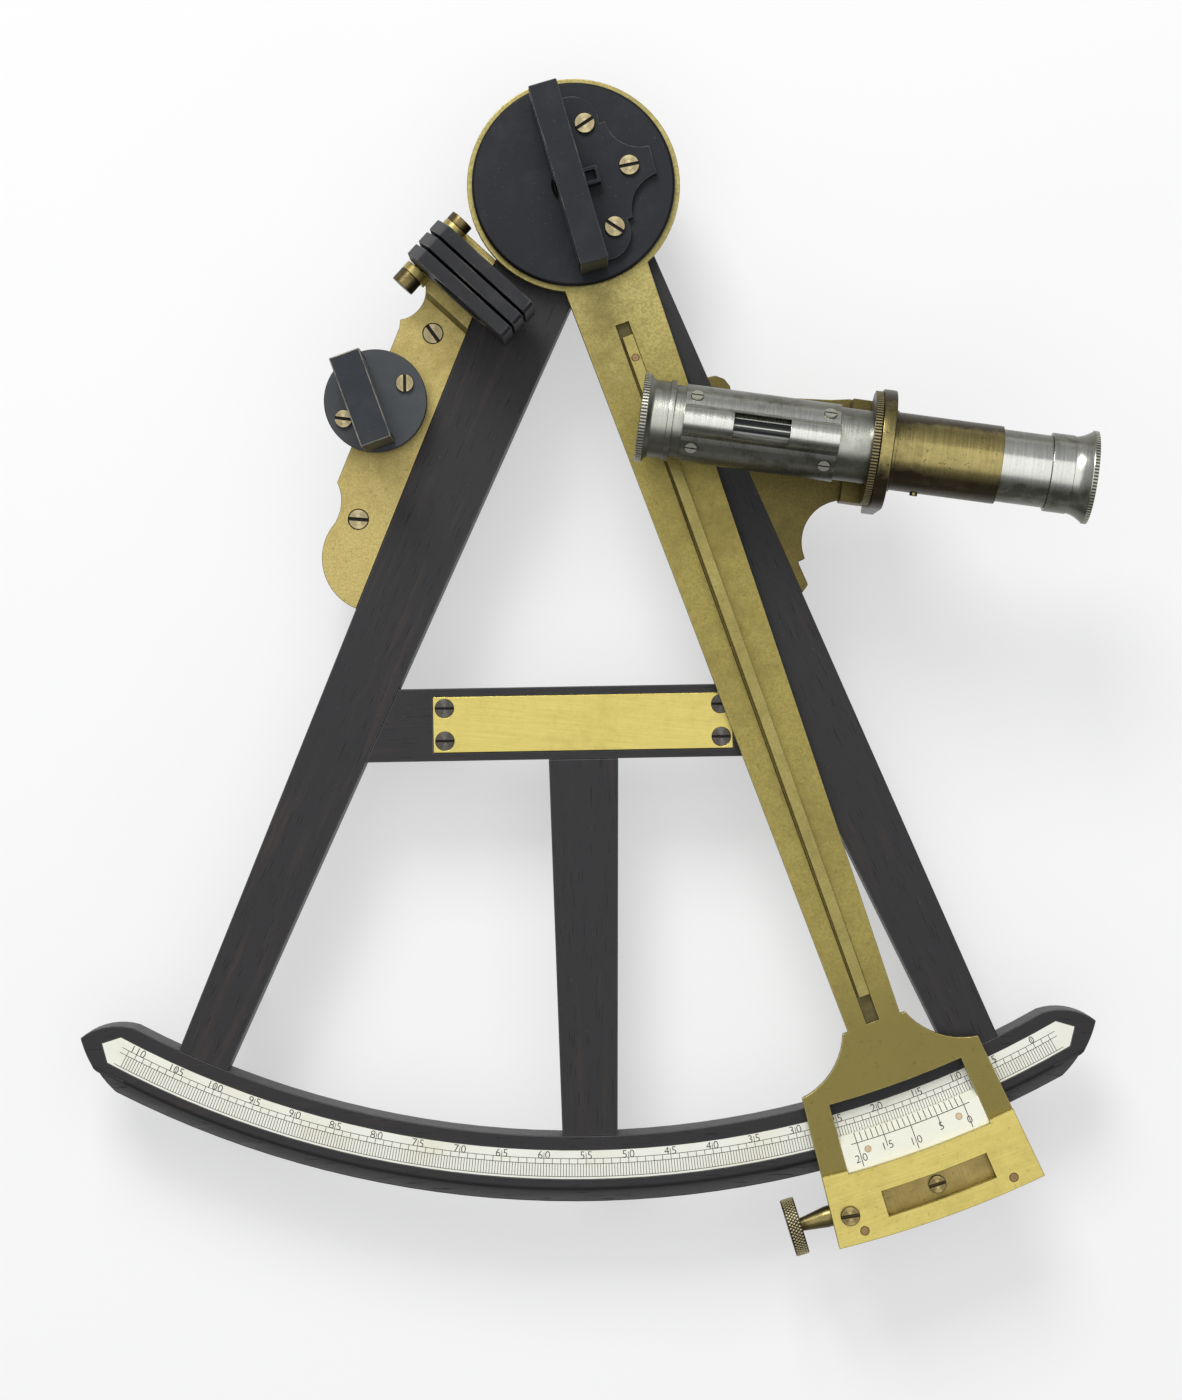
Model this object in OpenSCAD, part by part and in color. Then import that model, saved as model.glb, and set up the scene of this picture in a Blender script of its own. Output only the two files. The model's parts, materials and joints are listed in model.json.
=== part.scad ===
// Octant with an ebony frame, brass index arm and mounts, and a bone scale and vernier.
// It lies on its three feet with its face up. The index arm turns about the Z axis,
// the scale lies towards -Y, and a bearing is measured from -Y, positive towards +X.

/* [Frame] */
// Thickness of the ebony frame
frame_t = 12.5; // [11:0.5:16]
// Height of the feet under the frame
foot_h = 18; // [16:0.5:24]
// Bearing of each leg from the middle line
leg_angle = 24; // [23:0.1:25]
// Width of a leg at the pivot
leg_w_top = 23.3; // [21:0.1:25]
// Width of a leg at the limb
leg_w_low = 13.5; // [13:0.1:17]
// Radius of the lap joint at the head
head_r = 24; // [20:0.5:26]
// Distance from the pivot to the cross bar
bar_drop = 128.2; // [110:0.1:150]
// Width of the cross bar
bar_w = 18.7; // [16:0.1:24]
// Width of the strut at the cross bar
strut_w_top = 17.9; // [12:0.1:22]
// Width of the strut at the limb
strut_w_low = 14.2; // [10:0.1:20]

/* [Limb] */
// Radius of the limb's inner edge
limb_radius = 244; // [225:0.5:265]
// Width of the limb
limb_w = 17.3; // [16.5:0.1:19]
// Width of the ledge along the outer edge
ledge_w = 2.7; // [2:0.1:3.4]
// Depth of the ledge below the face
ledge_depth = 3.5; // [3:0.1:5]
// Bearing where the limb's ends begin
limb_end = 27.9; // [27:0.1:29]
// Radius of the rounded nose at each end
nose_r = 16; // [14:0.5:20]
// Bearing of the pointed tip
tip_angle = 31.1; // [30.6:0.1:32]
// Distance from the limb's inner edge to the pointed tip
tip_rise = 9; // [7:0.1:11]
// How far the slanting ends swell outward
end_swell = 1.2; // [0.2:0.1:2]

/* [Scale] */
// Distance from the limb's inner edge to the bone scale
bone_inset = 3.7; // [2.5:0.1:4.5]
// Width of the bone scale
bone_w = 7.3; // [6.5:0.1:8.5]
// Thickness of the bone
bone_t = 1.2; // [0.8:0.1:2]
// Bearing of the bone's shoulders
bone_end = 29.05; // [28:0.05:29.2]
// Bearing of the bone's points
bone_tip = 29.85; // [29.4:0.05:30]
// Bearing of the zero line
scale_zero = 27.25; // [26.5:0.05:27.5]
// Angle that the vernier shows, in degrees of the scale
reading = 10.5; // [4:0.5:40]

/* [Index arm] */
// Height of the arm's underside above the frame
arm_lift = 2; // [2:0.1:3]
// Thickness of the arm
arm_t = 2.5; // [2.2:0.1:4]
// Radius of the arm's round head
arm_head_r = 27.3; // [26.5:0.1:28]
// Width of the arm at the pivot
arm_w_top = 23.5; // [18:0.1:25]
// Width of the arm at its shoulder
arm_w_low = 14.2; // [11:0.1:17]
// Distance from the limb's inner edge back to the arm's shoulder
shoulder_back = 16.2; // [14:0.1:20]
// Width of the flare at the shoulder
flare_w = 17; // [17:0.1:20]
// Distance from the limb's inner edge back to where the flare is full
flare_back = 3; // [1.5:0.1:6]
// Radius of the flare's hollow sides
flare_hollow = 19; // [15:0.5:30]
// Half width of the arm's end, as a bearing
arm_end_a = 5.7; // [5.3:0.1:6.5]
// Length of the arm's end beyond the limb
end_beyond = 19.2; // [18:0.1:22]
// Distance from the limb's inner edge to the window
window_inset = 0.4; // [0.2:0.1:2]
// Reach of the window beyond the limb
window_beyond = 1.2; // [0.8:0.1:2]
// Half width of the window, as a bearing
window_a = 4.2; // [3.8:0.1:4.5]
// Thickness of the end plate
end_plate_t = 1.5; // [1:0.1:2]
// Width of the stiffening rib
rib_w = 2.9; // [2:0.1:4]
// Height of the rib's middle above the arm
rib_rise = 5; // [3:0.1:6]
// Height of the rib's ends above the arm
rib_end_h = 0.8; // [0.4:0.1:1.2]
// Radius where the rib begins
rib_r_in = 41; // [40:0.5:48]
// Distance from the rib's end to the arm's shoulder
rib_back = 7.4; // [6:0.1:40]
// Lap of the vernier's reading edge over the bone scale
vernier_lap = 1.6; // [1:0.1:4]
// Distance from the bone scale to the top of the vernier's slope
vernier_slope = 0.5; // [0.1:0.1:1.4]
// Span of the vernier's divisions, as a bearing
vernier_span = 6.5; // [6:0.1:7]

/* [Slow motion] */
// Distance of the swivel post beyond the middle of the end's slot
post_beyond = 0.45; // [0:0.05:1.5]
// Bearing of the swivel post from the arm's middle
post_a = 4.72; // [4.4:0.01:4.9]
// Lean of the tangent screw from square to the arm
screw_lean = 2.65; // [1.5:0.05:4]
// Depth of the tangent screw's axis below the frame's face
screw_drop = 3.6; // [3.4:0.1:4.5]
// Radius of the tangent screw's shank
shank_r = 1.6; // [1.2:0.1:1.8]
// Radius of the tangent screw's knob
knob_r = 7.3; // [6:0.1:9]
// Distance from the swivel post to the knob's middle
knob_reach = 14.3; // [13:0.1:18]
// Thickness of the clamp jaw
jaw_t = 4; // [3:0.1:5]
// Radius of the clamp screw's head
clamp_head_r = 6; // [5:0.5:7]

/* [Mirrors] */
// Height of the line of sight above the frame's face
optic_h = 24; // [24:0.5:26]
// Thickness of the black mirror platform
platform_t = 2.5; // [2:0.1:3]
// Radius of the black mirror platform
platform_r = 26; // [24.5:0.1:26.4]
// Length of the index mirror's frame
index_l = 46.4; // [40:0.1:47]
// Thickness of the index mirror's frame
index_t = 7.3; // [5:0.1:8]
// Height of the index mirror's frame
index_h = 21; // [19:0.5:26]
// Distance of the index mirror's frame to the left of the pivot
index_left = 1.2; // [0:0.1:1.6]
// Turn of the index mirror back from the arm's middle line
mirror_lag = 3.4; // [2:0.1:6]
// Distance from the pivot to the horizon glass
sight_length = 75; // [74:0.1:80]
// Bearing of the horizon glass, to the left
sight_a = 43.3; // [42.8:0.1:45]
// Radius of the horizon disc
horizon_r = 13.15; // [12.5:0.05:14]
// Height of the horizon disc's underside above the frame's face
horizon_lift = 5.6; // [5.4:0.1:8]
// Length of the horizon glass frame
horizon_l = 23.5; // [20:0.1:24]
// Thickness of the horizon glass frame
horizon_t = 8; // [5:0.1:8.2]
// Height of the horizon glass frame
horizon_h = 21; // [19:0.5:26]
// Thickness of each mirror glass
mirror_t = 2.4; // [1.8:0.1:3]

/* [Ear and shades] */
// Width of the ear beyond the leg
ear_w = 16.6; // [16:0.1:19]
// Distance along the leg to the ear's upper corner
ear_s_top = 50.5; // [48:0.1:52]
// Distance along the leg to the ear's lower corner
ear_s_low = 93.9; // [91:0.1:94]
// Radius of the ear's round lower end
ear_bulb_r = 14; // [12:0.1:15]
// Distance along the leg to the middle of the round end
ear_bulb_s = 107.5; // [106:0.1:112]
// Thickness of the ear plate
ear_plate_t = 2; // [1.5:0.1:3]
// Thickness of the shade stand's foot
stand_t = 1.5; // [1:0.1:1.6]
// Length of a shade frame
shade_l = 29.6; // [28:0.1:32]
// Height of a shade frame
shade_h = 22; // [20:0.5:26]
// Thickness of a shade frame
shade_t = 3.4; // [2.6:0.1:3.4]
// Distance from one shade to the next
shade_pitch = 4.1; // [3.8:0.01:4.4]
// Radius of a shade's glass
shade_glass_r = 8.6; // [7:0.1:9]
// Height of the shade pin above the frame's face
shade_pin_h = 9; // [8.5:0.1:10]
// Radius of the shade pin
shade_pin_r = 1.4; // [1:0.1:1.6]

/* [Telescope] */
// Place of the objective's rim, to the right of the pivot
scope_x = 15.6; // [12:0.1:18]
// Distance of the objective's rim below the pivot
scope_drop = 61.1; // [60:0.1:64]
// Dip of the telescope below +X
scope_dip = 8.7; // [7.5:0.1:10]
// Radius of the objective cell and the level cover
cell_r = 9.75; // [9.6:0.05:10.5]
// Radius of the silver tube
tube_r = 9.15; // [8.9:0.05:9.4]
// Length of the objective cell
cell_l = 8.3; // [7.5:0.1:9.5]
// Distance from the rim to the knurled flange
flange_at = 57.7; // [56:0.1:60]
// Radius of the knurled flange
flange_r = 14.15; // [13:0.05:14.5]
// Thickness of the knurled flange
flange_t = 2; // [1.5:0.1:3]
// Thickness of the collar
collar_t = 3.3; // [2.5:0.1:4]
// Width of the collar
collar_w = 30; // [29:0.1:32]
// Length of the brass barrel
barrel_l = 27.6; // [25:0.1:32]
// Radius of the brass barrel
barrel_r = 9.8; // [9.7:0.05:10.5]
// Radius of the draw tube
draw_r = 9.1; // [8.6:0.05:9.15]
// Length of the draw tube that shows
draw_out = 12.4; // [12:0.1:16]
// Length of the eyepiece
eyepiece_l = 11.3; // [9:0.1:14]
// Radius of the eyepiece's flared rim
eyepiece_rim_r = 11.5; // [10.8:0.1:12.5]
// Thickness of the bracket plate
bracket_t = 4; // [3:0.1:5]

/* [Hidden] */
$fn = 96;

// Clearances
run = 0.05;       // running fit of a shaft, all round
fit = 0.05;       // fixed screw or pin in its hole, all round
slip = 0.1;       // sliding faces of two moving pieces
cut = 1;          // overrun of a cutting tool past a face

// Colours
ebony = [0.10, 0.09, 0.09];
brass = [0.66, 0.57, 0.27];
pale_brass = [0.78, 0.68, 0.36];
bone = [0.93, 0.90, 0.80];
black = [0.14, 0.15, 0.17];
silver = [0.68, 0.69, 0.66];
iron = [0.22, 0.21, 0.20];
clear_glass = [0.75, 0.85, 0.88, 0.5];
dark_glass = [0.25, 0.12, 0.10, 0.8];
mirror_glass = [0.80, 0.84, 0.86];

// Radii that follow the limb
seat_lap = 1.6;
slot_inset = 6.6;
slot_w = 6.7;
limb_r_in = limb_radius;
limb_r_out = limb_r_in + limb_w;
tip_r = limb_r_in + tip_rise;
bone_r_in = limb_r_in + bone_inset;
bone_r_out = bone_r_in + bone_w;
arm_shoulder_r = limb_r_in - shoulder_back;
flare_r = limb_r_in - flare_back;
arm_end_r = limb_r_out + end_beyond;
window_r_in = limb_r_in + window_inset;
window_r_out = limb_r_out + window_beyond;
vernier_r = bone_r_out - vernier_lap;
slope_r = bone_r_out + vernier_slope;
seat_r = bone_r_out + seat_lap;
rib_r_out = arm_shoulder_r - rib_back;
slot_r_in = window_r_out + slot_inset;
slot_r_out = slot_r_in + slot_w;
slot_mid_r = slot_r_in + slot_w / 2;
post_arm = slot_mid_r + post_beyond;

// Levels
top = foot_h + frame_t;
arm_z = top + arm_lift;
arm_top = arm_z + arm_t;
platform_top = arm_top + platform_t;
base_t = 2;
base_top = platform_top + base_t;
optic_z = top + optic_h;

// Screws: head radius, head height, shank radius
screw_head_h = 1;
wood_screw = [2.6, 1.1];
plate_screw = [2.4, 1.1];
mirror_screw = [2.6, 1.2];
horizon_screw = [2.3, 1.1];
swivel_screw_size = [2.5, 1.2];
slide_screw_size = [2.3, 1.1];
cover_screw = [1.5, 0.6];
wood_bite = 6;

// A point at a radius and bearing from the pivot
function polar(r, a) = [r * sin(a), -r * cos(a)];

// The middle of the circle of radius r through p and q, to the left of the way from p to q
function arc_centre(p, q, r) =
    let (v = q - p, l = norm(v), n = [-v.y, v.x] / l)
    (p + q) / 2 + n * sqrt(r * r - l * l / 4);

// Half width of a leg at a distance along it
function leg_half(s) = (leg_w_top + (leg_w_low - leg_w_top) * s / limb_r_in) / 2;

// Reach of a leg's inner edge from the middle line at a distance below the pivot
function leg_inner_x(d) =
    let (
        p = [-leg_half(0) * cos(leg_angle), leg_half(0) * sin(leg_angle)],
        q = [
            limb_r_in * sin(leg_angle) - leg_half(limb_r_in) * cos(leg_angle),
            limb_r_in * cos(leg_angle) + leg_half(limb_r_in) * sin(leg_angle)
        ]
    )
    p.x + (d - p.y) * (q.x - p.x) / (q.y - p.y);

// A band between two radii and two bearings
module arc_band(r_in, r_out, from, to, h) {
    rotate([0, 0, from - 90])
        rotate_extrude(angle = to - from)
            translate([r_in, 0])
                square([r_out - r_in, h]);
}

// A box that is centred in X and Y and stands on Z = 0
module block(w, l, h) {
    translate([-w / 2, -l / 2, 0])
        cube([w, l, h]);
}

// A slotted screw that points down from Z = 0, its head above
module slotted_screw(size, length) {
    slot_w = size[0] / 4;
    slot_d = screw_head_h / 2;
    difference() {
        cylinder(r = size[0], h = screw_head_h);
        translate([0, 0, screw_head_h - slot_d])
            block(2 * size[0] + cut, slot_w, slot_d + cut);
    }
    translate([0, 0, -length])
        cylinder(r = size[1], h = length);
}

// The hole for a slotted screw whose head sits in the hole, down from Z = 0
module sunk_hole(size, length) {
    cylinder(r = size[0] + fit, h = screw_head_h + cut);
    shank_hole(size, length);
}

// The hole for a screw's shank, down from Z = 0
module shank_hole(size, length) {
    translate([0, 0, -length])
        cylinder(r = size[1] + fit, h = length + cut);
}

// Places on the object

// Along a leg: X is the distance beyond the leg's outer edge at the pivot, -Y runs along the leg
module on_leg(side) {
    mirror([side < 0 ? 1 : 0, 0, 0])
        rotate([0, 0, leg_angle])
            children();
}

module on_arm() {
    arm_rest = scale_zero - reading / 2 - vernier_span / 2;
    rotate([0, 0, arm_rest])
        children();
}

// The index mirror's own middle line runs along Y, and its back faces +X
module on_index_mirror() {
    on_arm()
        rotate([0, 0, -mirror_lag])
            children();
}

// Light runs from the index mirror at the origin along -Y to the horizon glass
module on_sight() {
    rotate([0, 0, -sight_a])
        children();
}

// The horizon glass faces +X, half way between the index mirror and the telescope
module on_horizon() {
    place = polar(sight_length, -sight_a);
    ray_in = place / sight_length;
    ray_out = [cos(scope_dip), -sin(scope_dip)];
    facing = ray_out - ray_in;
    translate([place.x, place.y, 0])
        rotate([0, 0, atan2(facing.y, facing.x)])
            children();
}

// The telescope's axis is X, from the objective's rim to the eyepiece
module on_scope() {
    translate([scope_x, -scope_drop, optic_z])
        rotate([0, 0, -scope_dip])
            children();
}

// Turned pieces of the telescope: Z becomes its axis
module along_scope(from) {
    on_scope()
        translate([from, 0, 0])
            rotate([0, 90, 0])
                children();
}

// The tangent screw's axis is X, the swivel post is at the origin, and +Y points at the pivot
post_place = polar(post_arm, -post_a);
slot_mid_a = 0.3;
slot_place = polar(slot_mid_r, slot_mid_a);
post_to_slot = slot_place - post_place;
slide_x = post_to_slot * [cos(screw_lean), -sin(screw_lean)];
slide_y = post_to_slot * [sin(screw_lean), cos(screw_lean)];
screw_line_r = post_arm * cos(post_a - screw_lean);
module on_screw(z) {
    on_arm()
        translate([post_place.x, post_place.y, z])
            rotate([0, 0, -screw_lean])
                children();
}

// Frame

bush_r = 8;
module leg(side, lap_z) {
    reach = limb_r_in + leg_w_low;
    half_low = leg_half(reach);
    difference() {
        union() {
            translate([0, 0, foot_h])
                difference() {
                    intersection() {
                        on_leg(side)
                            linear_extrude(frame_t)
                                polygon([
                                    [-leg_w_top / 2, 0],
                                    [leg_w_top / 2, 0],
                                    [half_low, -reach],
                                    [-half_low, -reach]
                                ]);
                        translate([side < 0 ? -limb_r_in : 0, -limb_r_in, 0])
                            cube([limb_r_in, limb_r_in, frame_t]);
                        cylinder(r = limb_r_in, h = frame_t, $fn = 360);
                    }
                    translate([0, 0, -cut])
                        cylinder(r = head_r, h = frame_t + 2 * cut);
                }
            translate([0, 0, lap_z])
                cylinder(r = head_r, h = frame_t / 2);
        }
        translate([0, 0, foot_h - cut])
            cylinder(r = bush_r, h = frame_t + 2 * cut);
    }
}

module left_leg() {
    color(ebony)
        leg(-1, foot_h);
}

module right_leg() {
    color(ebony)
        difference() {
            leg(1, foot_h + frame_t / 2);
            for_bracket_screws()
                shank_hole(wood_screw, bracket_flange_t + wood_bite);
        }
}

module nose() {
    corner = polar(limb_r_out, limb_end);
    tip = polar(tip_r, tip_angle);
    length = norm(tip - corner);
    way = (tip - corner) / length;
    inward = [way.y, -way.x] * (way.y * corner.x - way.x * corner.y > 0 ? -1 : 1);
    sink = 0.3;
    steps = 14;
    spare = 3;
    centre = polar(limb_r_in + nose_r - sink, limb_end);
    // The swollen edge, from before the corner to past the tip
    edge = [
        for (i = [-spare : steps + spare])
            corner + way * length * i / steps
                - inward * 4 * end_swell * i / steps * (1 - i / steps)
    ];
    intersection() {
        translate([centre.x, centre.y, 0])
            cylinder(r = nose_r, h = frame_t);
        linear_extrude(frame_t)
            polygon([
                each edge,
                edge[len(edge) - 1] + inward * 3 * nose_r,
                edge[0] + inward * 3 * nose_r
            ]);
    }
}

module limb() {
    far = limb_r_out / cos(limb_end) + cut;
    color(ebony)
        difference() {
            translate([0, 0, foot_h])
                intersection() {
                    difference() {
                        cylinder(r = limb_r_out, h = frame_t, $fn = 360);
                        translate([0, 0, -cut])
                            cylinder(r = limb_r_in, h = frame_t + 2 * cut, $fn = 360);
                    }
                    union() {
                        linear_extrude(frame_t)
                            polygon([[0, 0], polar(far, -limb_end), polar(far, limb_end)]);
                        nose();
                        mirror([1, 0, 0])
                            nose();
                    }
                }
            translate([0, 0, top - ledge_depth])
                difference() {
                    cylinder(r = limb_r_out + cut, h = ledge_depth + cut, $fn = 360);
                    translate([0, 0, -cut])
                        cylinder(r = limb_r_out - ledge_w, h = ledge_depth + 3 * cut, $fn = 360);
                }
            translate([0, 0, top - bone_t])
                bone_form(bone_t + cut);
        }
}

module bone_form(h) {
    mid = (bone_r_in + bone_r_out) / 2;
    far = bone_r_out / cos(bone_end) + cut;
    intersection() {
        difference() {
            cylinder(r = bone_r_out, h = h, $fn = 360);
            translate([0, 0, -cut])
                cylinder(r = bone_r_in, h = h + 2 * cut, $fn = 360);
        }
        linear_extrude(h)
            polygon([
                [0, 0],
                polar(bone_r_in, -bone_end),
                polar(mid, -bone_tip),
                polar(bone_r_out, -bone_end),
                polar(far, -bone_end),
                polar(far, bone_end),
                polar(bone_r_out, bone_end),
                polar(mid, bone_tip),
                polar(bone_r_in, bone_end)
            ]);
    }
}

module bone_scale() {
    color(bone)
        translate([0, 0, top - bone_t])
            bone_form(bone_t);
}

plate_w = 77;
plate_h = 14.3;
plate_t = 1.3;
plate_proud = 0.3;
plate_screw_inset = 2.95;
bar_mid = bar_drop + bar_w / 2;
module for_plate_screws() {
    for (sx = [-1, 1])
        for (sy = [-1, 1])
            translate([
                sx * (plate_w / 2 - plate_screw_inset),
                -bar_mid + sy * (plate_h / 2 - plate_screw_inset),
                top + plate_proud - screw_head_h
            ])
                children();
}

module cross_bar() {
    low = bar_drop + bar_w;
    color(ebony)
        difference() {
            translate([0, 0, foot_h])
                linear_extrude(frame_t)
                    polygon([
                        [-leg_inner_x(bar_drop), -bar_drop],
                        [leg_inner_x(bar_drop), -bar_drop],
                        [leg_inner_x(low), -low],
                        [-leg_inner_x(low), -low]
                    ]);
            translate([0, -bar_mid, top + plate_proud - plate_t])
                block(plate_w, plate_h, plate_t + cut);
            for_plate_screws()
                shank_hole(plate_screw, wood_bite);
        }
}

module name_plate() {
    color(pale_brass)
        difference() {
            translate([0, -bar_mid, top + plate_proud - plate_t])
                block(plate_w, plate_h, plate_t);
            for_plate_screws()
                sunk_hole(plate_screw, wood_bite);
        }
}

module name_plate_screws() {
    color(iron)
        for_plate_screws()
            slotted_screw(plate_screw, wood_bite);
}

module strut() {
    from = bar_drop + bar_w;
    color(ebony)
        translate([0, 0, foot_h])
            intersection() {
                linear_extrude(frame_t)
                    polygon([
                        [-strut_w_top / 2, -from],
                        [strut_w_top / 2, -from],
                        [strut_w_low / 2, -limb_r_in],
                        [-strut_w_low / 2, -limb_r_in]
                    ]);
                cylinder(r = limb_r_in, h = frame_t, $fn = 360);
            }
}

bush_flange_r = 12;
pin_r = 5;
module pivot_bush() {
    color(brass)
        difference() {
            union() {
                translate([0, 0, foot_h])
                    cylinder(r = bush_r, h = frame_t);
                translate([0, 0, top])
                    cylinder(r = bush_flange_r, h = arm_lift - slip);
            }
            translate([0, 0, foot_h - cut])
                cylinder(r = pin_r + run, h = frame_t + arm_lift + 2 * cut);
        }
}

foot_flange_t = 2;
module apex_foot() {
    flange = 15;
    body_r = 13;
    sole_r = 11;
    hollow_r = 11;
    sole_t = 5;
    color(brass)
        rotate_extrude()
            polygon([
                [0, 0],
                [sole_r, 0],
                [body_r, foot_h - foot_flange_t],
                [flange, foot_h - foot_flange_t],
                [flange, foot_h],
                [hollow_r, foot_h],
                [hollow_r, sole_t],
                [0, sole_t]
            ]);
}

foot_back = 18;
limb_foot_r = limb_r_in - foot_back;
module limb_feet() {
    flange = 6.2;
    neck_r = 4;
    sole_r = 5.6;
    sole_t = 4;
    color(brass)
        for (side = [-1, 1])
            on_leg(side)
                translate([0, -limb_foot_r, 0])
                    rotate_extrude()
                        polygon([
                            [0, 0],
                            [sole_r, 0],
                            [sole_r, sole_t],
                            [neck_r, 2 * sole_t],
                            [neck_r, foot_h - foot_flange_t],
                            [flange, foot_h - foot_flange_t],
                            [flange, foot_h],
                            [0, foot_h]
                        ]);
}

// Ear and shades

pad_in = 27.2;
pad_out = 46.5;
pad_side = 16.5;
shade_pin_u = 14.5;
knuckle_r = 3.2;
shade_mid = 36.7;
lug_t = 2.2;
cove_r = 7.7;
cove_side = 21;
cove_s = 42;
neck_side = 24;
neck_rise = 5.9;
neck_s = ear_bulb_s - neck_rise;
neck_lap = 0.15;
neck_r = norm([neck_side, neck_rise]) - ear_bulb_r + neck_lap;

// A point beside a leg: a distance beyond its outer edge, at a distance along it
function beside(e, s) = [leg_half(s) + e, -s];

// A point on the face, as on_leg(side) places it
function leg_point(p, side) =
    [side * p.x * cos(leg_angle) + p.y * sin(leg_angle), p.y * cos(leg_angle) - side * p.x * sin(leg_angle)];

// A point on the face from its place beside and along the line of sight
function sight_point(u, w) =
    [u * cos(sight_a) + w * sin(sight_a), w * cos(sight_a) - u * sin(sight_a)];

module ear_form(h) {
    under_leg = 3;
    bulb_in = 0.92 * ear_bulb_r / norm([neck_side, neck_rise]);
    difference() {
        union() {
            on_leg(-1)
                linear_extrude(h)
                    polygon([
                        beside(-under_leg, pad_in),
                        leg_point(sight_point(0, -pad_in), -1),
                        leg_point(sight_point(-pad_side, -pad_in), -1),
                        leg_point(sight_point(-pad_side, -pad_out), -1),
                        beside(ear_w, ear_s_top),
                        beside(ear_w, ear_s_low),
                        beside(neck_side * bulb_in, ear_bulb_s - neck_rise * bulb_in),
                        beside(-under_leg, ear_bulb_s)
                    ]);
            on_leg(-1)
                translate([leg_half(ear_bulb_s), -ear_bulb_s, 0])
                    cylinder(r = ear_bulb_r, h = h);
        }
        on_leg(-1)
            translate([0, 0, -cut])
                linear_extrude(h + 2 * cut)
                    polygon([
                        [-leg_w_top, cut],
                        beside(0, -cut),
                        beside(0, limb_r_in),
                        [-leg_w_top, -limb_r_in]
                    ]);
        on_leg(-1)
            translate([leg_half(cove_s) + cove_side, -cove_s, -cut])
                cylinder(r = cove_r, h = h + 2 * cut);
        on_leg(-1)
            translate([leg_half(neck_s) + neck_side, -neck_s, -cut])
                cylinder(r = neck_r, h = h + 2 * cut);
        translate([0, 0, -cut])
            cylinder(r = head_r, h = h + 2 * cut);
    }
}

post_r = 3;
module horizon_bore() {
    on_horizon()
        translate([0, 0, foot_h - cut])
            cylinder(r = post_r + run, h = frame_t + 2 * cut);
}

ear_screw_s = [48.6, 100.1];
ear_screw_e = 8;
ear_screw_turn = [31, -19];
module for_ear_screws() {
    for (i = [0:1])
        on_leg(-1)
            translate([leg_half(ear_screw_s[i]) + ear_screw_e, -ear_screw_s[i], top - screw_head_h])
                rotate([0, 0, ear_screw_turn[i]])
                    children();
}

module left_ear() {
    color(ebony)
        difference() {
            translate([0, 0, foot_h])
                ear_form(frame_t - ear_plate_t);
            horizon_bore();
            for_ear_screws()
                shank_hole(wood_screw, wood_bite);
        }
}

module ear_plate() {
    color(pale_brass)
        difference() {
            translate([0, 0, top - ear_plate_t])
                ear_form(ear_plate_t);
            horizon_bore();
            for_ear_screws()
                sunk_hole(wood_screw, wood_bite);
        }
}

module ear_plate_screws() {
    color(pale_brass)
        for_ear_screws()
            slotted_screw(wood_screw, wood_bite);
}

// The stack of shades, between the stand's two lugs
shade_from = shade_mid - shade_pitch - shade_t / 2;
shade_to = shade_mid + shade_pitch + shade_t / 2;
shade_gap = 0.4;
stand_lip = 1.4;

module shade_stand() {
    color(pale_brass)
        difference() {
            union() {
                intersection() {
                    on_sight()
                        translate([-pad_side, -shade_to - shade_gap - lug_t - stand_lip, top])
                            cube([
                                2 * pad_side,
                                shade_to - shade_from + 2 * (shade_gap + lug_t) + stand_lip,
                                stand_t
                            ]);
                    translate([0, 0, top])
                        ear_form(stand_t);
                }
                for (y = [shade_from - shade_gap - lug_t, shade_to + shade_gap])
                    on_sight()
                        translate([-shade_pin_u, -y, top]) {
                            translate([-knuckle_r, -lug_t, 0])
                                cube([2 * knuckle_r, lug_t, shade_pin_h]);
                            translate([0, 0, shade_pin_h])
                                rotate([90, 0, 0])
                                    cylinder(r = knuckle_r, h = lug_t);
                        }
            }
            on_sight()
                translate([pad_side + cut, -shade_to - shade_gap - lug_t - stand_lip, top])
                    rotate([90, 0, -90])
                        linear_extrude(2 * (pad_side + cut))
                            polygon([
                                [cut, -stand_t / 3],
                                [cut, stand_t + cut],
                                [-stand_t - cut, stand_t + cut]
                            ]);
            on_sight()
                translate([-shade_pin_u, 0, top + shade_pin_h])
                    rotate([90, 0, 0])
                        cylinder(r = shade_pin_r + fit, h = pad_out + pad_side);
        }
}

module shade_pin() {
    knob_l = 2.3;
    barrel_len = 3.8;
    knob_end_r = 3.2;
    from = shade_from - shade_gap - lug_t;
    to = shade_to + shade_gap + lug_t;
    color(brass)
        on_sight()
            translate([-shade_pin_u, -from + knob_l, top + shade_pin_h])
                rotate([90, 0, 0]) {
                    cylinder(r = shade_pin_r, h = to - from + knob_l + barrel_len);
                    cylinder(r = knob_end_r, h = knob_l);
                    translate([0, 0, knob_l + to - from])
                        cylinder(r = knob_end_r, h = barrel_len);
                }
}

// A shade swings on the pin at its lower outer corner
shade_low = 7.2;
shade_nick = 1;
shade_corner = 0.8;
shade_corner_h = 9;
module shade_body(i, h_extra) {
    on_sight()
        translate([-shade_pin_u, -shade_mid - (i - 2) * shade_pitch + shade_t / 2, top])
            rotate([90, 0, 0])
                translate([0, 0, -h_extra])
                    children();
}

glass_x = shade_pin_u;
glass_z = shade_low + shade_h / 2;
glass_t = 1.6;

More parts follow.
